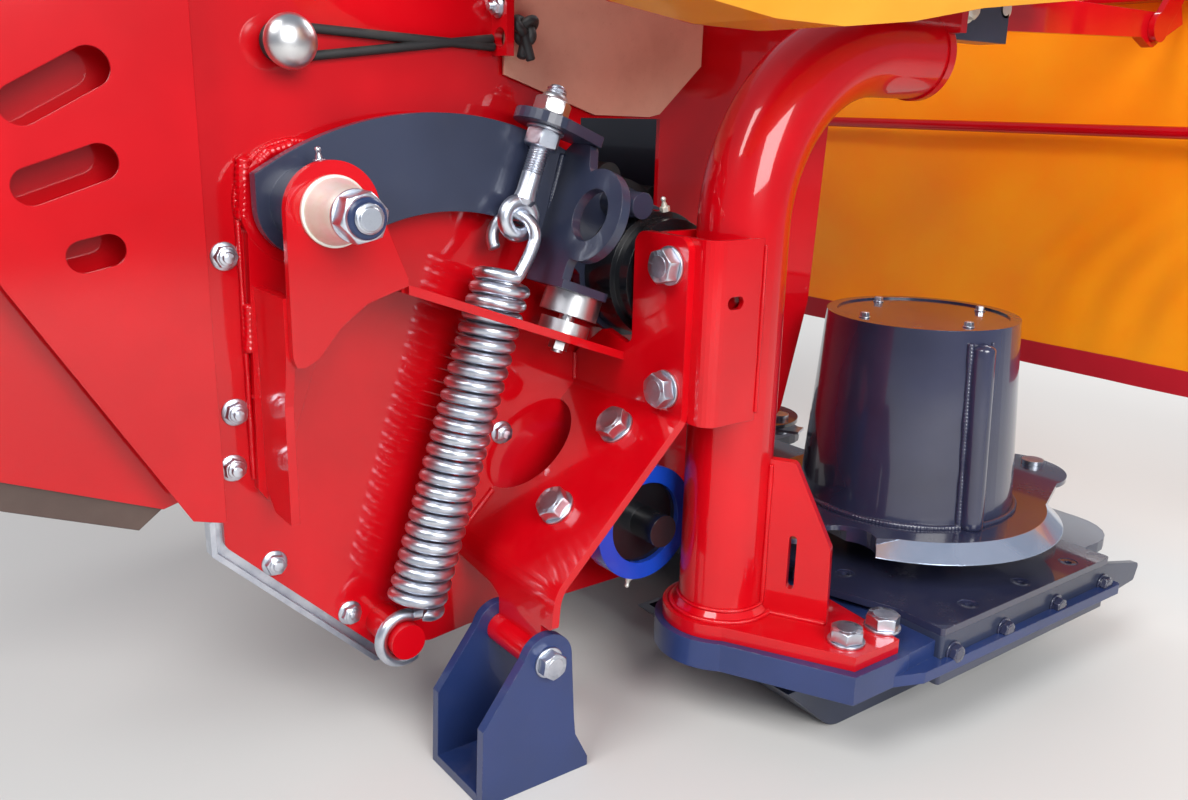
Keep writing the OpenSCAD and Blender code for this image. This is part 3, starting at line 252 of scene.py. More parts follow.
# Satin enamel of the arm, the bed and the rollers, and a bluer batch of it on the skids
graphite_paint = coat("graphite_paint", "#272c3f", "#333a50", 0.3, 6, 0.05, 0.12, clear=0.35, worn=0.4)
blue_graphite_paint = coat(
    "blue_graphite_paint", "#1c2c55", "#26386a", 0.32, 6, 0.05, 0.12, clear=0.3, worn=0.5
)
# Black enamel on the bearing housings
black_paint = coat("black_paint", "#101115", "#1a1c20", 0.25, 6, 0.05, clear=0.5)
# Bright zinc on bolts, nuts and the spring, yellowish zinc on the pivot, and bare machined steel
zinc_plate = plated("zinc_plate", "#d6dbe4", "#b2b9c6", 0.29)
yellow_zinc = plated("yellow_zinc", "#eff0ea", "#dcdac6", 0.46, metallic=0.7)
turned_steel = plated("turned_steel", "#dcdcdc", "#bcbcc0", 0.3, 60)
# Moulded plastics: the lock nut's nylon insert, the lower bearing's ring and the belt's cover
insert_plastic = coat("insert_plastic", "#1f2c4c", "#2a3a60", 0.3, 3, 0.03)
blue_plastic = coat("blue_plastic", "#0c3fb4", "#1450d0", 0.25, 3, 0.03, clear=0.4)
yellow_plastic = coat("yellow_plastic", "#dc921f", "#e8a02c", 0.26, 9, 0.04, 0.06, clear=0.3)
# Dull grey plated sheet, with the warm orange of the covers that it mirrors painted into its colour as a
# painted reflection
grey_sheet = plated("grey_sheet", "#e6ac94", "#d2957f", 0.36, 60, 0.45)
# Matt moulded rubber, and a lip of belting that is brown with dried soil
black_rubber = coat("black_rubber", "#141517", "#1f2023", 0.55, 2, 0.06, 0.2)
lip_rubber = coat("lip_rubber", "#4a3a34", "#5b4841", 0.5, 4, 0.06, 0.4)
# Coated tarpaulin, with threads drawn about twice as coarse as real ones so that they show
orange_cloth = cloth("orange_cloth", "#ff9000", "#ffa010", 0.42, 1.6, 0.05, 0.6)
red_cloth = cloth("red_cloth", "#a80c1c", "#c01426", 0.5, 1.6, 0.06)

FINISH = {
    "red_paint": red_powder_coat,
    "graphite_paint": graphite_paint,
    "zinc_plate": zinc_plate,
    "black_paint": black_paint,
    "black_rubber": black_rubber,
    "blue_plastic": blue_plastic,
    "grey_sheet": grey_sheet,
    "yellow_plastic": yellow_plastic,
    "orange_fabric": orange_cloth,
}
OWN_FINISH = {
    "disc_1": rubbed_highlit_disc,
    "disc_2": rubbed_highlit_disc,
    "drum": disc_paint,
    "drum_lid": disc_paint,
    "cutterbar_top_plate": disc_paint,
    "rear_skid_foot": blue_graphite_paint,
    "rear_skid_extension": blue_graphite_paint,
    "deflector_lip": lip_rubber,
    "stop_buffer": turned_steel,
}
for part in frame["record"]["subparts"]:
    finished = frame["nodes"][part["node"]]
    finished.data.materials.clear()
    finished.data.materials.append(OWN_FINISH.get(part["node"], FINISH[part["material_slot"]]))


# Tension spring
# A close-wound zinc plated coil of 12 mm wire, drawn out between the arm's eyebolt and the boss
# low on the side plate, with a hook at each end. It is hung in before the guards go on.
def surface(grid, round_u=False, round_v=False):
    """Points and quads of a grid of points, joined end to end where it is round."""
    rows, columns = grid.shape[:2]
    index = np.arange(rows * columns).reshape(rows, columns)
    if round_u:
        index = np.vstack([index, index[:1]])
    if round_v:
        index = np.hstack([index, index[:, :1]])
    quads = np.stack([index[:-1, :-1], index[1:, :-1], index[1:, 1:], index[:-1, 1:]], -1)
    return grid.reshape(-1, 3), quads.reshape(-1, 4)


def piece(name, surfaces, finish, body, smooth=35, replaces=()):
    """A closed mesh object made of surfaces, with its doubles merged, its faces outwards and its
    edges sharp above an angle, which rides on a body when one is given."""
    points, faces, start = [], [], 0
    for some_points, some_faces in surfaces:
        points.append(some_points)
        faces.extend((some_faces + start).tolist())
        start += len(some_points)
    mesh = bpy.data.meshes.new(name)
    mesh.from_pydata(np.vstack(points).tolist(), [], faces)
    work = bmesh.new()
    work.from_mesh(mesh)
    bmesh.ops.remove_doubles(work, verts=work.verts, dist=1e-6)
    bmesh.ops.dissolve_degenerate(work, dist=1e-7, edges=work.edges)
    bmesh.ops.recalc_face_normals(work, faces=work.faces)
    work.to_mesh(mesh)
    work.free()
    mesh.shade_smooth()
    mesh.set_sharp_from_angle(angle=math.radians(smooth))
    mesh.materials.append(finish)
    made = bpy.data.objects.new(name, mesh)
    bpy.context.scene.collection.objects.link(made)
    if body:
        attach(made, body)
    if replaces:
        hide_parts(*replaces)
    return made


def along(path):
    """Unit tangents of a path, and two unit vectors square to each that turn as little as they can."""
    tangent = np.gradient(path, axis=0)
    tangent /= np.linalg.norm(tangent, axis=1, keepdims=True)
    side = np.zeros_like(path)
    start = np.eye(3)[np.argmin(np.abs(tangent[0]))]
    for i, t in enumerate(tangent):
        start = start - t * (start @ t)
        start = start / np.linalg.norm(start)
        side[i] = start
    return tangent, side, np.cross(tangent, side)


def swept(path, radius, sides=12):
    """Round bar: a circle carried along a path, and drawn in to a point at both ends through a
    smaller circle, which makes a flat end with a rounded rim."""
    path = np.asarray(path, float)
    radius = np.broadcast_to(np.asarray(radius, float), len(path)).copy()
    first, last = path[0] - path[1], path[-1] - path[-2]
    first, last = first / np.linalg.norm(first), last / np.linalg.norm(last)
    start, end = path[0] + first * radius[0] * 0.25, path[-1] + last * radius[-1] * 0.25
    path = np.vstack([start + first * 1e-5, start, path, end, end + last * 1e-5])
    radius = np.concatenate([[0, radius[0] * 0.75], radius, [radius[-1] * 0.75, 0]])
    tangent, side, other = along(path)
    turn = np.linspace(0, 2 * math.pi, sides, endpoint=False)
    ring = np.cos(turn)[None, :, None] * side[:, None] + np.sin(turn)[None, :, None] * other[:, None]
    return surface(path[:, None] + ring * radius[:, None, None], round_v=True)


SPRING_X = -0.090
SPRING_LOW = np.array([SPRING_X, -0.624, 0.157])
ANCHOR = np.array([SPRING_X, -0.637, 0.128])
EYE = np.array([SPRING_X, -0.5072, 0.5230])
WIRE = 0.0060
COIL = 0.0230
COIL_TURNS = 25
HOOK = 0.0210
LOW_HOOK = 0.0235
HOOK_RISE = 0.0545
EYE_SEAT = 0.0030
HOOK_TURN = math.radians(38)
HOOK_SWEEP = math.radians(222)
LOW_HOOK_START, LOW_HOOK_SWEEP = math.radians(62), math.radians(238)
spring_axis = (EYE - SPRING_LOW) / np.linalg.norm(EYE - SPRING_LOW)
spring_reach = np.linalg.norm(EYE - SPRING_LOW)
spring_length = spring_reach - HOOK_RISE
spring_across = np.array([1.0, 0.0, 0.0])
spring_deep = np.cross(spring_axis, spring_across)


def spring_path():
    """Centreline of the wire: a lower hook round the anchor boss, a helix of even pitch, and an
    upper hook that rises from the coil's edge, turning forwards, and bends over through the eye."""
    turn = np.linspace(0, 1, COIL_TURNS * 28 + 1)
    angle = turn * COIL_TURNS * 2 * math.pi
    helix = (
        SPRING_LOW
        + spring_axis * (turn * spring_length)[:, None]
        + COIL * (np.cos(angle)[:, None] * spring_across + np.sin(angle)[:, None] * spring_deep)
    )
    top = SPRING_LOW + spring_axis * (spring_reach + EYE_SEAT - HOOK)
    rise = SPRING_LOW + spring_axis * spring_length
    climb = np.linspace(0, 1, 14)[1:, None]
    wind = climb * HOOK_TURN
    way = np.cos(wind) * spring_across + np.sin(wind) * spring_deep
    lift = rise + way * (COIL + (HOOK - COIL) * climb) + spring_axis * climb * np.linalg.norm(top - rise)
    over = np.linspace(0, 1, 28)[1:, None] * HOOK_SWEEP
    hook = top + HOOK * (np.cos(over) * way[-1] + np.sin(over) * spring_axis)
    low_angle = LOW_HOOK_START + np.linspace(0, LOW_HOOK_SWEEP, 34)[:, None]
    y_axis, z_axis = np.array([0, 1.0, 0]), np.array([0, 0, 1.0])
    low_hook = ANCHOR + LOW_HOOK * (np.cos(low_angle) * y_axis + np.sin(low_angle) * z_axis)
    join = np.linspace(0, 1, 10)[1:-1, None]
    start, end = low_hook[0], helix[0]
    middle = start + (end - start) * join + np.array([0.0, 0.012, 0.002]) * np.sin(math.pi * join)
    return np.vstack([low_hook[::-1], middle, helix, lift, hook])


coil_bar = swept(spring_path(), WIRE, 10)
coil = piece("spring_coil", [coil_bar], zinc_plate, None, 60, ["tension_spring"])
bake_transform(coil)


# Eyebolt
# An M20 eyebolt with a forged eye, threaded most of its length, clamps through the head of the
# roller arm between two nuts with washers and takes the spring's upper hook.
TILT = math.radians(20)
ARM_HEAD = np.array([-0.039, -0.4624, 0.529])
HEAD_UP = np.array([0, math.sin(TILT), math.cos(TILT)])
HEAD_FORE = np.array([0, math.cos(TILT), -math.sin(TILT)])


def at_head(u, w, v):
    """Point on the arm's tilted head, in millimetres across, forwards and up from its corner."""
    return ARM_HEAD + MM * (u * np.array([1.0, 0, 0]) + w * HEAD_FORE + v * HEAD_UP)


def across_of(axis):
    """Two unit vectors square to an axis and to each other."""
    axis = np.asarray(axis, float)
    axis = axis / np.linalg.norm(axis)
    side = np.cross(axis, np.eye(3)[np.argmin(np.abs(axis))])
    side = side / np.linalg.norm(side)
    return axis, side, np.cross(axis, side)


def turned(profile_mm, at, axis, sides=48):
    """Turned piece: a profile of (radius, height) in millimetres carried round an axis. It starts
    and ends on the axis or closes on itself."""
    axis, side, other = across_of(axis)
    profile = np.asarray(profile_mm, float) * MM
    turn = np.linspace(0, 2 * math.pi, sides, endpoint=False)
    ring = np.cos(turn)[:, None] * side + np.sin(turn)[:, None] * other
    grid = np.asarray(at) + profile[:, 1, None, None] * axis + profile[:, 0, None, None] * ring
    return surface(grid, round_v=True)


def disc_profile(radius, low, high, round_mm=0.6):
    """Profile of a washer or plain disc with rounded rims, closed on the axis at both faces."""
    bend = np.linspace(-math.pi / 2, 0, 4)
    rim = radius - round_mm + round_mm * np.cos(bend)
    lower = np.stack([rim, low + round_mm + round_mm * np.sin(bend)], 1)
    upper = np.stack([rim, high - round_mm - round_mm * np.sin(bend)], 1)[::-1]
    return np.vstack([[[0, low]], lower, upper, [[0, high]]])


def hexed(across_mm, low, high, at, axis, both=False, twist=0.0):
    """Bolt head or nut: at each height the radius is the hexagon's, cut back by the 30 degree
    cone that chamfers its corners at the outer face, or at both faces."""
    axis, side, other = across_of(axis)
    flat = across_mm / 2
    face = flat * 0.985
    slope = math.tan(math.radians(30))
    turn = np.linspace(0, 2 * math.pi, 72, endpoint=False)
    corner = (turn + math.pi / 6) % (math.pi / 3) - math.pi / 6
    hexagon = flat / np.cos(corner)
    depth = flat * (2 / math.sqrt(3) - 1) * slope * 1.15
    top = np.linspace(high - depth, high, 5)
    bottom = np.linspace(low, low + depth, 5) if both else np.array([low, low + depth])
    heights = np.concatenate([bottom, top])
    reach = face + (high - heights) / slope
    if both:
        reach = np.minimum(reach, face + (heights - low) / slope)
    radius = np.minimum(hexagon[None], reach[:, None])
    radius = np.vstack([np.zeros(72), radius, np.zeros(72)])
    heights = np.concatenate([[low], heights, [high]])
    angle = turn + twist
    ring = np.cos(angle)[:, None] * side + np.sin(angle)[:, None] * other
    grid = np.asarray(at) + MM * (heights[:, None, None] * axis + radius[:, :, None] * ring)
    return surface(grid, round_v=True)


def threaded(radius_mm, low, high, pitch_mm, at, axis):
    """Screw thread: the radius dips by 0.55 of the pitch once a turn, along a helix, and is cut
    down at the first and the last row."""
    axis, side, other = across_of(axis)
    rows = max(int((high - low) / pitch_mm * 8), 8)
    heights = np.linspace(low, high, rows)
    turn = np.linspace(0, 2 * math.pi, 32, endpoint=False)
    phase = heights[:, None] / pitch_mm - turn[None] / (2 * math.pi)
    dip = 0.55 * pitch_mm * np.abs((phase % 1) * 2 - 1) ** 0.8
    radius = radius_mm - dip
    radius[[0, -1]] = radius_mm - 0.6 * pitch_mm
    radius = np.vstack([np.zeros(32), radius, np.zeros(32)])
    heights = np.concatenate([[low], heights, [high]])
    ring = np.cos(turn)[:, None] * side + np.sin(turn)[:, None] * other
    grid = np.asarray(at) + MM * (heights[:, None, None] * axis + radius[:, :, None] * ring)
    return surface(grid, round_v=True)


def ringed(radius_mm, wire_mm, at, axis, squeeze=1.0):
    """Forged ring: a circle of wire carried round an axis, a little flatter along it."""
    axis, side, other = across_of(axis)
    turn = np.linspace(0, 2 * math.pi, 48, endpoint=False)[:, None, None]
    bend = np.linspace(0, 2 * math.pi, 20, endpoint=False)[None, :, None]
    out = np.cos(turn) * side + np.sin(turn) * other
    reach = radius_mm + wire_mm * np.cos(bend)
    grid = np.asarray(at) + MM * (reach * out + squeeze * wire_mm * np.sin(bend) * axis)
    return surface(grid, round_u=True, round_v=True)


EYEBOLT_ACROSS, EYEBOLT_FORE, EYE_DROP = -51, -40, 21
EYE_RADIUS, EYE_WIRE = 15, 7.5
eyebolt_foot = at_head(EYEBOLT_ACROSS, EYEBOLT_FORE, 0)
eye_centre = at_head(EYEBOLT_ACROSS, EYEBOLT_FORE, -EYE_DROP)
shank = [[0, -8], [8.5, -8], [11, -3], [9.6, 4], [9.6, 22], [0, 22]]
piece(
    "eyebolt_forging",
    [
        ringed(EYE_RADIUS, EYE_WIRE, eye_centre, [1, 0, 0], 0.9),
        turned(shank, eyebolt_foot, HEAD_UP),
        threaded(9.9, 20, 103, 2.5, eyebolt_foot, HEAD_UP),
        turned([[0, 100], [8.2, 100], [8.0, 104], [6.5, 106], [0, 106]], eyebolt_foot, HEAD_UP),
        hexed(30, 47, 63, eyebolt_foot, HEAD_UP, both=True, twist=0.35),
        turned(disc_profile(18, 63, 66), eyebolt_foot, HEAD_UP),
    ],
    zinc_plate,
    "roller_arm",
    replaces=["spring_eyebolt"],
)
piece(
    "eyebolt_top_nut",
    [
        turned(disc_profile(18, 76, 79), eyebolt_foot, HEAD_UP),
        hexed(30, 79, 93, eyebolt_foot, HEAD_UP, both=True, twist=0.1),
        turned([[0, 90], [12.6, 90], [12.6, 94], [11, 97.5], [9.5, 98.5], [0, 98.5]], eyebolt_foot, HEAD_UP),
    ],
    turned_steel,
    "roller_arm",
)


# Pivot nut of the roller arm
# A yellow passivated thrust washer and a turned sleeve with a flared foot carry the arm's pivot
# bolt, which ends in an M24 lock nut with a blue nylon insert.
PIVOT = np.array([0, -0.705, 0.540])
OUT = np.array([1.0, 0, 0])
sleeve_profile = [[0, -49], [27, -49], [26.6, -46], [24, -38], [21, -26], [19.5, -15], [18.6, -14], [0, -14]]
piece(
    "pivot_sleeve",
    [
        turned(disc_profile(29, -53, -49, 1.0), PIVOT, OUT, 72),
        turned(sleeve_profile, PIVOT, OUT, 72),
        turned([[0, -200], [12, -200], [12, -50], [0, -50]], PIVOT, OUT, 32),
        hexed(36, -157, -142, PIVOT, OUT, both=True),
    ],
    yellow_zinc,
    "frame",
    replaces=["pivot_bolt"],
)
piece(
    "pivot_nut",
    [
        turned(disc_profile(21, -14, -10.5, 0.8), PIVOT, OUT, 48),
        hexed(36, -10.5, 5, PIVOT, OUT, twist=0.22),
        turned([[0, 2], [16.6, 2], [16.6, 6.5], [15.4, 8.6], [13.2, 9.2], [0, 9.2]], PIVOT, OUT, 48),
        threaded(12, 0, 14, 3, PIVOT, OUT),
        turned([[0, 12], [9.8, 12], [9.4, 14.4], [8.6, 15.2], [0, 15.2]], PIVOT, OUT, 32),
    ],
    zinc_plate,
    "frame",
)
piece(
    "pivot_nut_insert",
    [turned([[0, 6], [15.9, 6], [16.2, 8], [14.6, 9.7], [12.4, 9.9], [0, 9.9]], PIVOT, OUT, 48)],
    insert_plastic,
    "frame",
)


# Bolts of the post and its bracket
# M20 screws with washers clamp the bracket to the channel and its sloping plate to the side
# frame, and two more hold the foot flange down on the skid.
def screw(at, axis, across_mm, head_mm, washer_r, washer_t, twist=0.0):
    """Washer and bolt head on a face, with the head's washer face and chamfered top."""
    top = washer_t + head_mm
    crown = [[0, top - 1], [across_mm * 0.36, top - 1], [across_mm * 0.35, top + 0.25], [0, top + 0.05]]
    return [
        turned(disc_profile(washer_r, 0, washer_t), at, axis, 40),
        turned(disc_profile(across_mm * 0.475, washer_t, washer_t + 0.7, 0.3), at, axis, 32),
        hexed(across_mm, washer_t + 0.6, top, at, axis, twist=twist),
        turned(crown, at, axis, 32),
    ]


# Width across flats, head height, washer radius and washer thickness in millimetres
M20_HEAD = (30, 12.5, 18.5, 3)
M16_HEAD = (24, 10, 15, 2.5)
M12_HEAD = (19, 8, 14, 2.5)
M10_HEAD = (17, 7, 12, 2)
UPWARDS = np.array([0, 0, 1.0])
REARWARDS = np.array([0, -1.0, 0])
SLOPE_UP = np.array([0, -math.sqrt(0.5), math.sqrt(0.5)])
SLOPE_DOWN = np.array([0, -math.sqrt(0.5), -math.sqrt(0.5)])
bend = np.array([-0.032, -0.406, 0.342])
m20_places = [
    (np.array([0.013, -0.406, 0.485]), REARWARDS, 0.3),
    (np.array([0.013, -0.406, 0.367]), REARWARDS, 0.75),
    (bend + SLOPE_DOWN * 0.031, SLOPE_UP, 0.1),
    (bend + SLOPE_DOWN * 0.130, SLOPE_UP, 0.55),
    (np.array([0.155, -0.282, 0.125]), UPWARDS, 0.2),
    (np.array([0.156, -0.228, 0.125]), UPWARDS, 0.9),
]
m20_parts = []
for at, axis, twist in m20_places:
    m20_parts += screw(at, axis, *M20_HEAD, twist)
piece("post_screws", m20_parts, zinc_plate, "frame")


# Bolt of the skid foot
# One long M16 bolt with a washer under its head is the hinge of the foot.
foot_low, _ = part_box("foot_bolt")
foot_axis = np.array([0, -0.548, 0.128])
foot_near = 27.0
piece(
    "foot_hinge_bolt",
    screw(foot_axis + OUT * foot_near * MM, OUT, *M16_HEAD, 0.4)
    + [
        turned([[0, -75], [8, -75], [8, 28], [0, 28]], foot_axis, OUT, 32),
        hexed(24, 67, 80, foot_axis, -OUT, both=True),
        threaded(8, 66, foot_low[0] * -1000, 2, foot_axis, -OUT),
    ],
    zinc_plate,
    "skid_foot",
    replaces=["foot_bolt"],
)


# Nuts on the side plate
# M12 flanged lock nuts with the ends of their bolts hold the guards, the strip and the bearing
# to the side plate.
def nut(at, axis, across_mm, thick_mm, flange_mm, bolt_mm, out_mm, twist=0.0):
    """Lock nut with a flared flange, and the threaded end of its bolt."""
    flange = [[0, 0], [flange_mm, 0], [flange_mm, 1.2], [across_mm * 0.52, 3.2], [0, 3.2]]
    collar = [
        [0, thick_mm - 3],
        [across_mm * 0.44, thick_mm - 3],
        [across_mm * 0.43, thick_mm - 0.8],
        [across_mm * 0.36, thick_mm],
        [0, thick_mm],
    ]
    return [
        turned(flange, at, axis, 36),
        hexed(across_mm, 2, thick_mm - 1.5, at, axis, twist=twist),
        turned(collar, at, axis, 32),
        threaded(bolt_mm, thick_mm - 1, thick_mm + out_mm, 1.6, at, axis),
    ]


arm_parts = []
for y, z in ((-60, 730), (11, 735)):
    arm_parts += screw(np.array([56.5 if y < 0 else 46, y, z]) * MM, OUT, *M12_HEAD, y)
piece("guard_arm_screws", arm_parts, yellow_zinc, "frame")
side_parts = []
side_places = [(-768, 498), (-768, 363), (-773, 313), (-742, 215), (-671, 145), (-498, 300)]
for i, (y, z) in enumerate(side_places):
    bolt_out = 4.5 if i < 3 else 2
    side_parts += nut(np.array([-0.136, y * MM, z * MM]), OUT, 17, 10, 12, 5, bolt_out, 0.3 * i)
piece("side_plate_nuts", side_parts, zinc_plate, "frame")


# Drum
# A rolled cone welded to the outer disc, with a half-round carrier bar on two sides and a lid
# held by four small screws. Each bar has a long weld bead along both edges and a domed top.
DRUM_FOOT, DRUM_HEAD = 126, 110
DRUM_LOW, DRUM_TOP = 178, 401
BAR_ANGLE = -18
BAR_RADIUS, BAR_PROUD, BAR_LOW, BAR_TOP, BAR_DOME = 13.6, 2.2, 180, 379.3, 8
BEAD_SPREAD, BEAD_PROUD = 14.4, 0.6
LID_SCREW_TURNS, LID_SCREW_RADIUS, LID_SCREW_HEIGHT = (72, 166, 256, 344), 82, 399


def weld(path, width_mm, ripple_mm=2.6, seed=0.0):
    """Weld bead: a half-sunk bar along a path whose radius swells and shrinks once a ripple, and
    wanders slowly, as a hand-laid bead does."""
    path = np.asarray(path, float)
    step = np.linalg.norm(np.diff(path, axis=0), axis=1)
    run = np.concatenate([[0], np.cumsum(step)])
    stations = np.linspace(0, run[-1], max(int(run[-1] / (ripple_mm * MM) * 4), 8))
    line = np.stack([np.interp(stations, run, path[:, k]) for k in range(3)], 1)
    beat = np.abs(np.sin(math.pi * stations / (ripple_mm * MM)))
    wander = 0.1 * np.sin(stations * 71 + seed) + 0.07 * np.sin(stations * 173 + 2 * seed)
    return swept(line, width_mm / 2 * MM * (0.82 + 0.18 * beat + wander), 8)


def round_path(centre, radius_mm, start, end, axis=(0, 0, 1)):
    """Arc about an axis through a centre, between two angles in degrees."""
    axis, side, other = across_of(axis)
    if axis[2] > 0.9:
        side, other = np.array([1.0, 0, 0]), np.array([0, 1.0, 0])
    if axis[0] > 0.9:
        side, other = np.array([0, 1.0, 0]), np.array([0, 0, 1.0])
    angle = np.radians(np.linspace(start, end, 90))[:, None]
    return np.asarray(centre) + radius_mm * MM * (np.cos(angle) * side + np.sin(angle) * other)


def drum_radius(z):
    """Outer radius of the cone at a height."""
    return DRUM_FOOT + (DRUM_HEAD - DRUM_FOOT) * (z - DRUM_LOW) / (DRUM_TOP - DRUM_LOW)


drum_welds = [weld(round_path((0, 0, 0.1795), DRUM_FOOT + 1, -180, 179), 8, 4)]
bars = []
for turn in (BAR_ANGLE, BAR_ANGLE + 180):
    arc = np.linspace(0, math.radians(84), 9)
    heights = np.concatenate([np.linspace(BAR_LOW, BAR_TOP, 31), BAR_TOP + BAR_DOME * np.sin(arc[1:])])
    girth = np.concatenate([np.full(31, BAR_RADIUS), BAR_RADIUS * np.cos(arc[1:])])
    angle = math.radians(turn)
    reach = drum_radius(heights) + BAR_PROUD
    bar_path = np.stack([reach * math.cos(angle), reach * math.sin(angle), heights], 1) * MM
    bars.append(swept(bar_path, girth * MM, 28))
    for side, bead in ((-1, 8), (1, 4)):
        spread = angle + side * np.arcsin(BEAD_SPREAD / drum_radius(heights[:-1]))
        reach = drum_radius(heights[:-1]) + BEAD_PROUD
        bead_path = np.stack([reach * np.cos(spread), reach * np.sin(spread), heights[:-1]], 1) * MM
        drum_welds.append(weld(bead_path, bead, 4, turn + side))
piece("carrier_bars", bars, disc_paint, "outer_disc", 50)
piece("drum_welds", drum_welds, disc_paint, "outer_disc", 60)

lid_screws = []
for turn in LID_SCREW_TURNS:
    angle = math.radians(turn)
    way = [LID_SCREW_RADIUS * math.cos(angle), LID_SCREW_RADIUS * math.sin(angle), LID_SCREW_HEIGHT]
    at = np.array(way) * MM
    lid_screws += [
        turned(disc_profile(6.5, 0, 1.2, 0.4), at, (0, 0, 1), 24),
        hexed(9, 1.2, 6, at, (0, 0, 1), twist=turn),
    ]
piece("lid_screws", lid_screws, zinc_plate, "outer_disc")


# Screws of the cutterbar
# Countersunk socket screws hold the top plate down, and hexagon screws close the bed's end.
BED_TOP, BED_END = 125, 195
bed_places = [(174, -108), (174, -10), (174, 88), (48, -157)]
end_places = [(133, 94), (32, 95), (-70, 95), (-160, 95)]


def socket_screw(at, axis):
    """Countersunk head seen from above: a shallow dish with a raised ring and a round socket."""
    socket = [[0, -4.5], [4.2, -4.5], [4.2, -0.9], [6.6, -0.9]]
    ring = [[7.2, -0.5], [9.6, -0.5], [10.2, -1.0], [10.2, -5], [0, -5]]
    return turned(socket + ring, at, axis, 40)


bed_screws = [socket_screw(np.array([x, y, BED_TOP]) * MM, (0, 0, 1)) for x, y in bed_places]
piece("bed_screws", bed_screws, disc_paint, "frame")
end_screws = []
for y, z in end_places:
    end_screws += screw(np.array([BED_END, y, z]) * MM, OUT, *M10_HEAD, y)
piece("end_screws", end_screws, disc_paint, "frame")


# Welds of the red frame
# Every joint of the frame is a hand-laid fillet weld, painted over with the frame.
POST = np.array([0.019, -0.322, 0])
FLANGE_FACE, COLLAR_FACE, GUSSET_TOP = 0.1262, 0.1352, 0.285
gusset_way = np.array([math.cos(math.radians(29)), math.sin(math.radians(29)), 0])
gusset_side = np.array([-gusset_way[1], gusset_way[0], 0])
frame_welds = [
    weld(round_path(POST + [0, 0, FLANGE_FACE], 53, -180, 179), 6, 3),
    weld(round_path(POST + [0, 0, COLLAR_FACE], 45.5, -180, 179), 4, 3),
]
# The gusset's foot and edge, and the channel's edges, on both sides
for side in (-1, 1):
    shift = gusset_side * side * 5.6 * MM
    edge = [POST + gusset_way * 0.0455 + shift + UPWARDS * z for z in (0.136, GUSSET_TOP)]
    foot = [POST + gusset_way * r + shift + UPWARDS * 0.126 for r in (0.052, 0.111)]
    channel_x = (0.0615 if side > 0 else -0.0235) + side * 0.001
    channel = [(channel_x, -0.3335, z) for z in (0.345, 0.505)]
    frame_welds += [weld(edge, 6, 3, side), weld(foot, 6, 3, side), weld(channel, 4, 3, side)]
# The doubler round the pivot, the rib below it, and the bracket on the side plate and on its flange
boss_line = (-0.5480 + 0.0155 * 0.70, 0.128 + 0.0155 * 0.72)
frame_welds += [
    weld(round_path((-0.1345, -0.705, 0.540), 51.5, 5, 192, (1, 0, 0)), 6.5, 3, 0.4),
    weld([(-0.1345, -0.7555, 0.528), (-0.1345, -0.7560, 0.300)], 5.5, 3, 0.9),
    weld([bend + SLOPE_DOWN * s + [-0.1035, 0, 0.0] + SLOPE_UP * 0.0005 for s in (0.145, 0.200)], 7, 3, 1.7),
    weld([(-0.1355, -0.4065, 0.345), (-0.1355, -0.4065, 0.374)], 6, 3, 2.1),
]
# Short heavy tacks on the doubler and the rib, each a path in millimetres, a width and a seed
tacks = [
    ([(-132, -748, 578), (-132, -752, 529)], 13, 578),
    ([(-132, -751, 456), (-132, -753, 416)], 12, 456),
    ([(-132, -746, 403), (-132, -748, 374)], 13, 403),
    ([(-130, -738, 573), (-130, -728, 582), (-130, -708, 588)], 11, 0.2),
    ([(-125, -736, 449), (-125, -724, 462)], 12, 0.6),
]
frame_welds += [weld(np.array(tack) * MM, wide, 5, seed) for tack, wide, seed in tacks]
frame_welds.append(weld([(x, *boss_line) for x in (-0.056, 0.016)], 4, 3, 2.8))
piece("frame_welds", frame_welds, red_powder_coat, "frame", 60)

head_weld = weld([(-0.1075, -0.446, 0.580), (-0.1075, -0.456, 0.545), (-0.1075, -0.466, 0.508)], 6, 3, 0.3)
piece("arm_weld", [head_weld], graphite_paint, "roller_arm", 60)


# Grease nipples
# Small hydraulic grease nipples sit on the pivot, the bearing tube and the lower bearing.
def nipple(at, axis):
    """Grease nipple: a hexagon foot, a waisted neck and a ball end."""
    ball = np.linspace(-math.pi / 2 + 0.6, math.pi / 2, 9)
    head = np.stack([2.6 * np.cos(ball), 12.5 + 2.6 * np.sin(ball)], 1)
    return [
        hexed(9, 0, 5, at, axis),
        turned(np.vstack([[[0, 4], [3, 4], [3, 7], [1.9, 9.5]], head[1:]]), at, axis, 24),
    ]


arm_nipple = nipple((-0.066, -0.348, 0.5255), (0, -0.25, 1))
piece("arm_nipple", arm_nipple, yellow_zinc, "roller_arm")
pivot_nipple = nipple((-0.085, -0.7020, 0.574), (0, -0.1, 1))
piece("pivot_nipple", pivot_nipple, zinc_plate, "roller_arm")
lower_nipple = nipple((-0.053, -0.3885, 0.1445), (0, -0.25, -1))
piece("lower_nipple", lower_nipple, yellow_zinc, "frame")


# Latch knob and elastic loop
# A pressed steel mushroom knob holds the loop of braided elastic cord that keeps the side guard
# shut. The cord is knotted behind the bracket that it passes through.
KNOB = np.array([-0.136, -0.712, 0.670])
dome_turn = np.linspace(-math.pi / 2 + 0.35, math.pi / 2, 18)
dome = np.stack([22 * np.cos(dome_turn), 27 + 15 * np.sin(dome_turn)], 1)
dome[-1, 0] = 0
knob_profile = np.vstack([[[0, 0], [11, 0], [11, 3], [8, 5], [8, 13]], dome])
knob = turned(knob_profile, KNOB, OUT, 72)
piece("mushroom_knob", [knob], turned_steel, "frame", 40, ["latch_knob"])

loop_nut = nut(np.array([-0.124, -0.508, 0.7105]), REARWARDS, 13, 8, 9.5, 4, 3, 0.2)
piece("loop_nut", loop_nut, zinc_plate, "frame")


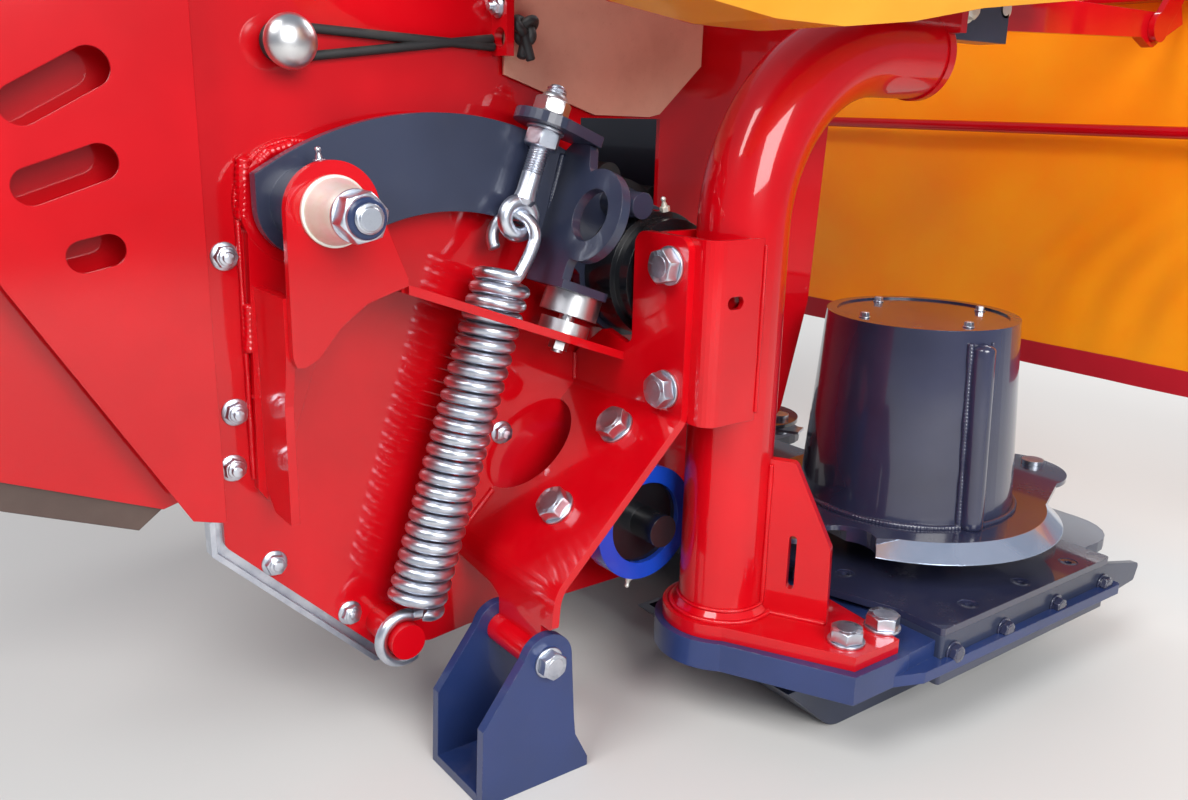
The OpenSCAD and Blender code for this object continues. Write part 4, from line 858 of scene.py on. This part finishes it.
def knot_path(centre, size_mm, tail_mm):
    """Overhand knot: the trefoil (sin t + 2 sin 2t, cos t - 2 cos 2t, -1.1 sin 3t), opened at its
    foot into two short tails that hang down."""
    t = np.linspace(0.12, 2 * math.pi - 0.12, 70)[:, None]
    trefoil = [-np.sin(3 * t) * 1.1, np.sin(t) + 2 * np.sin(2 * t), np.cos(t) - 2 * np.cos(2 * t)]
    loops = np.hstack(trefoil) * size_mm * MM
    first = np.linspace(1, 0.1, 8)[:, None] * np.array([0.1, -0.35, -1.2]) * tail_mm * MM + loops[0]
    last = np.linspace(0.1, 1, 8)[:, None] * np.array([0.2, 0.3, -1.3]) * tail_mm * MM + loops[-1]
    return np.asarray(centre) + np.vstack([first, loops, last])


knot = swept(knot_path((-0.118, -0.483, 0.693), 3.9, 18), 4.5 * MM, 14)
piece("elastic_knot", [knot], black_rubber, "frame", 60)


# Front curtain
# One width of coated orange cloth hangs from the rail with a red hem along its foot. It was cut a
# little long, so it hangs in low soft folds.
CURTAIN_LEFT, CURTAIN_RIGHT = -0.778, 0.248
CURTAIN_FOOT, CURTAIN_HEAD = 0.264, 0.803
CURTAIN_PLANE = 0.4335
FOLD_LIMIT = 6.5
CLOTH_THICK, HEM_THICK = 1.2 * MM, 3.0 * MM
HEM_ROWS, HEM_DROP = 8, 0.0006


def hung(across, down):
    """Forward shift of the cloth, in millimetres, over shares of its width and drop: slow waves
    across it that grow towards the foot, slanting creases where it was folded, small puckers
    under the rail, and a crumpled patch near the outer end."""
    slack = 0.25 + 0.75 * down
    waves = 2.6 * np.sin(across * 17 + 1.2 * np.sin(across * 5)) + 1.5 * np.sin(across * 31 + down * 3)
    creases = 1.3 * np.sin((across * 9 + down * 6.5) * 2.1) + 0.9 * np.sin((across * 13 - down * 8) * 1.7 + 1)
    puckers = 0.7 * np.sin(across * 83 + 5 * down) * np.exp(-down * 9)
    crumpled = np.exp(-(((across - 0.79) / 0.13) ** 2) - ((down - 0.74) / 0.19) ** 2)
    dents = 1.5 * crumpled * np.sin(across * 88 + down * 30 + 2 * np.sin(down * 11))
    return np.clip(slack * (waves + creases * 1.6) * 0.85 + puckers + dents, -FOLD_LIMIT, FOLD_LIMIT)


def sheeted(middle, thick):
    """Closed thin sheet about a grid of points: both faces lie half the thickness off along Y, and
    the first and last rows close on the middle."""
    half = np.zeros((middle.shape[0], 1, 3))
    half[1:-1, 0, 1] = thick / 2
    return surface(np.concatenate([middle + half, (middle - half)[:, ::-1]], 1), round_v=True)


across, down = np.meshgrid(np.linspace(0, 1, 260), np.linspace(0, 1, 110), indexing="ij")
middle = np.stack(
    [
        CURTAIN_LEFT + (CURTAIN_RIGHT - CURTAIN_LEFT) * across,
        CURTAIN_PLANE + hung(across, down) * MM,
        CURTAIN_HEAD + (CURTAIN_FOOT - CURTAIN_HEAD) * down,
    ],
    -1,
)
curtain = piece(
    "curtain_cloth",
    [sheeted(middle, CLOTH_THICK)],
    orange_cloth,
    "front_guard",
    60,
    ["front_curtain"],
)
hem_rows = middle[:, -HEM_ROWS:].copy()
hem_rows[:, :, 2] -= HEM_DROP
hem = piece("curtain_hem", [sheeted(hem_rows, HEM_THICK)], red_cloth, "front_guard", 60)


# Light and floor
# Plain soft studio light: a broad lamp high behind the camera on its left, one on its right, one
# beyond the curtain, and an even pale surround that shiny metal and gloss paint mirror.
def lamp(name, at, towards, size, power):
    """Square soft box that faces a point, with its side in metres and its power in watts."""
    data = bpy.data.lights.new(name, "AREA")
    data.size = size
    data.energy = power
    made = bpy.data.objects.new(name, data)
    aim = Vector(towards) - Vector(at)
    made.matrix_world = Matrix.Translation(at) @ aim.to_track_quat("-Z", "Y").to_matrix().to_4x4()
    bpy.context.scene.collection.objects.link(made)
    return made


lamp("key_lamp", (0.6, -2.6, 2.8), (-0.1, -0.3, 0.4), 1.4, 70)
lamp("side_lamp", (2.6, -0.9, 1.7), (-0.1, 0.2, 0.45), 1.6, 85)
lamp("front_lamp", (-0.8, 2.8, 2.4), (-0.2, 0, 0.3), 2.2, 85)

world = bpy.data.worlds.new("studio")
bpy.context.scene.world = world
world.use_nodes = True
surround = world.node_tree.nodes["Background"]
surround.inputs["Color"].default_value = linear("#dbe5f7")
surround.inputs["Strength"].default_value = 0.36

FLOOR_HALF = 6
floor_corners = [(x * FLOOR_HALF, y * FLOOR_HALF, 0) for x, y in ((-1, -1), (1, -1), (1, 1), (-1, 1))]
floor_mesh = bpy.data.meshes.new("floor")
floor_mesh.from_pydata(floor_corners, [], [(0, 1, 2, 3)])
floor = bpy.data.objects.new("floor", floor_mesh)
bpy.context.scene.collection.objects.link(floor)
floor_card = material("floor_card", {"Roughness": 0.9, "Base Color": linear("#d2d0cc")})[0]
floor_mesh.materials.append(floor_card)
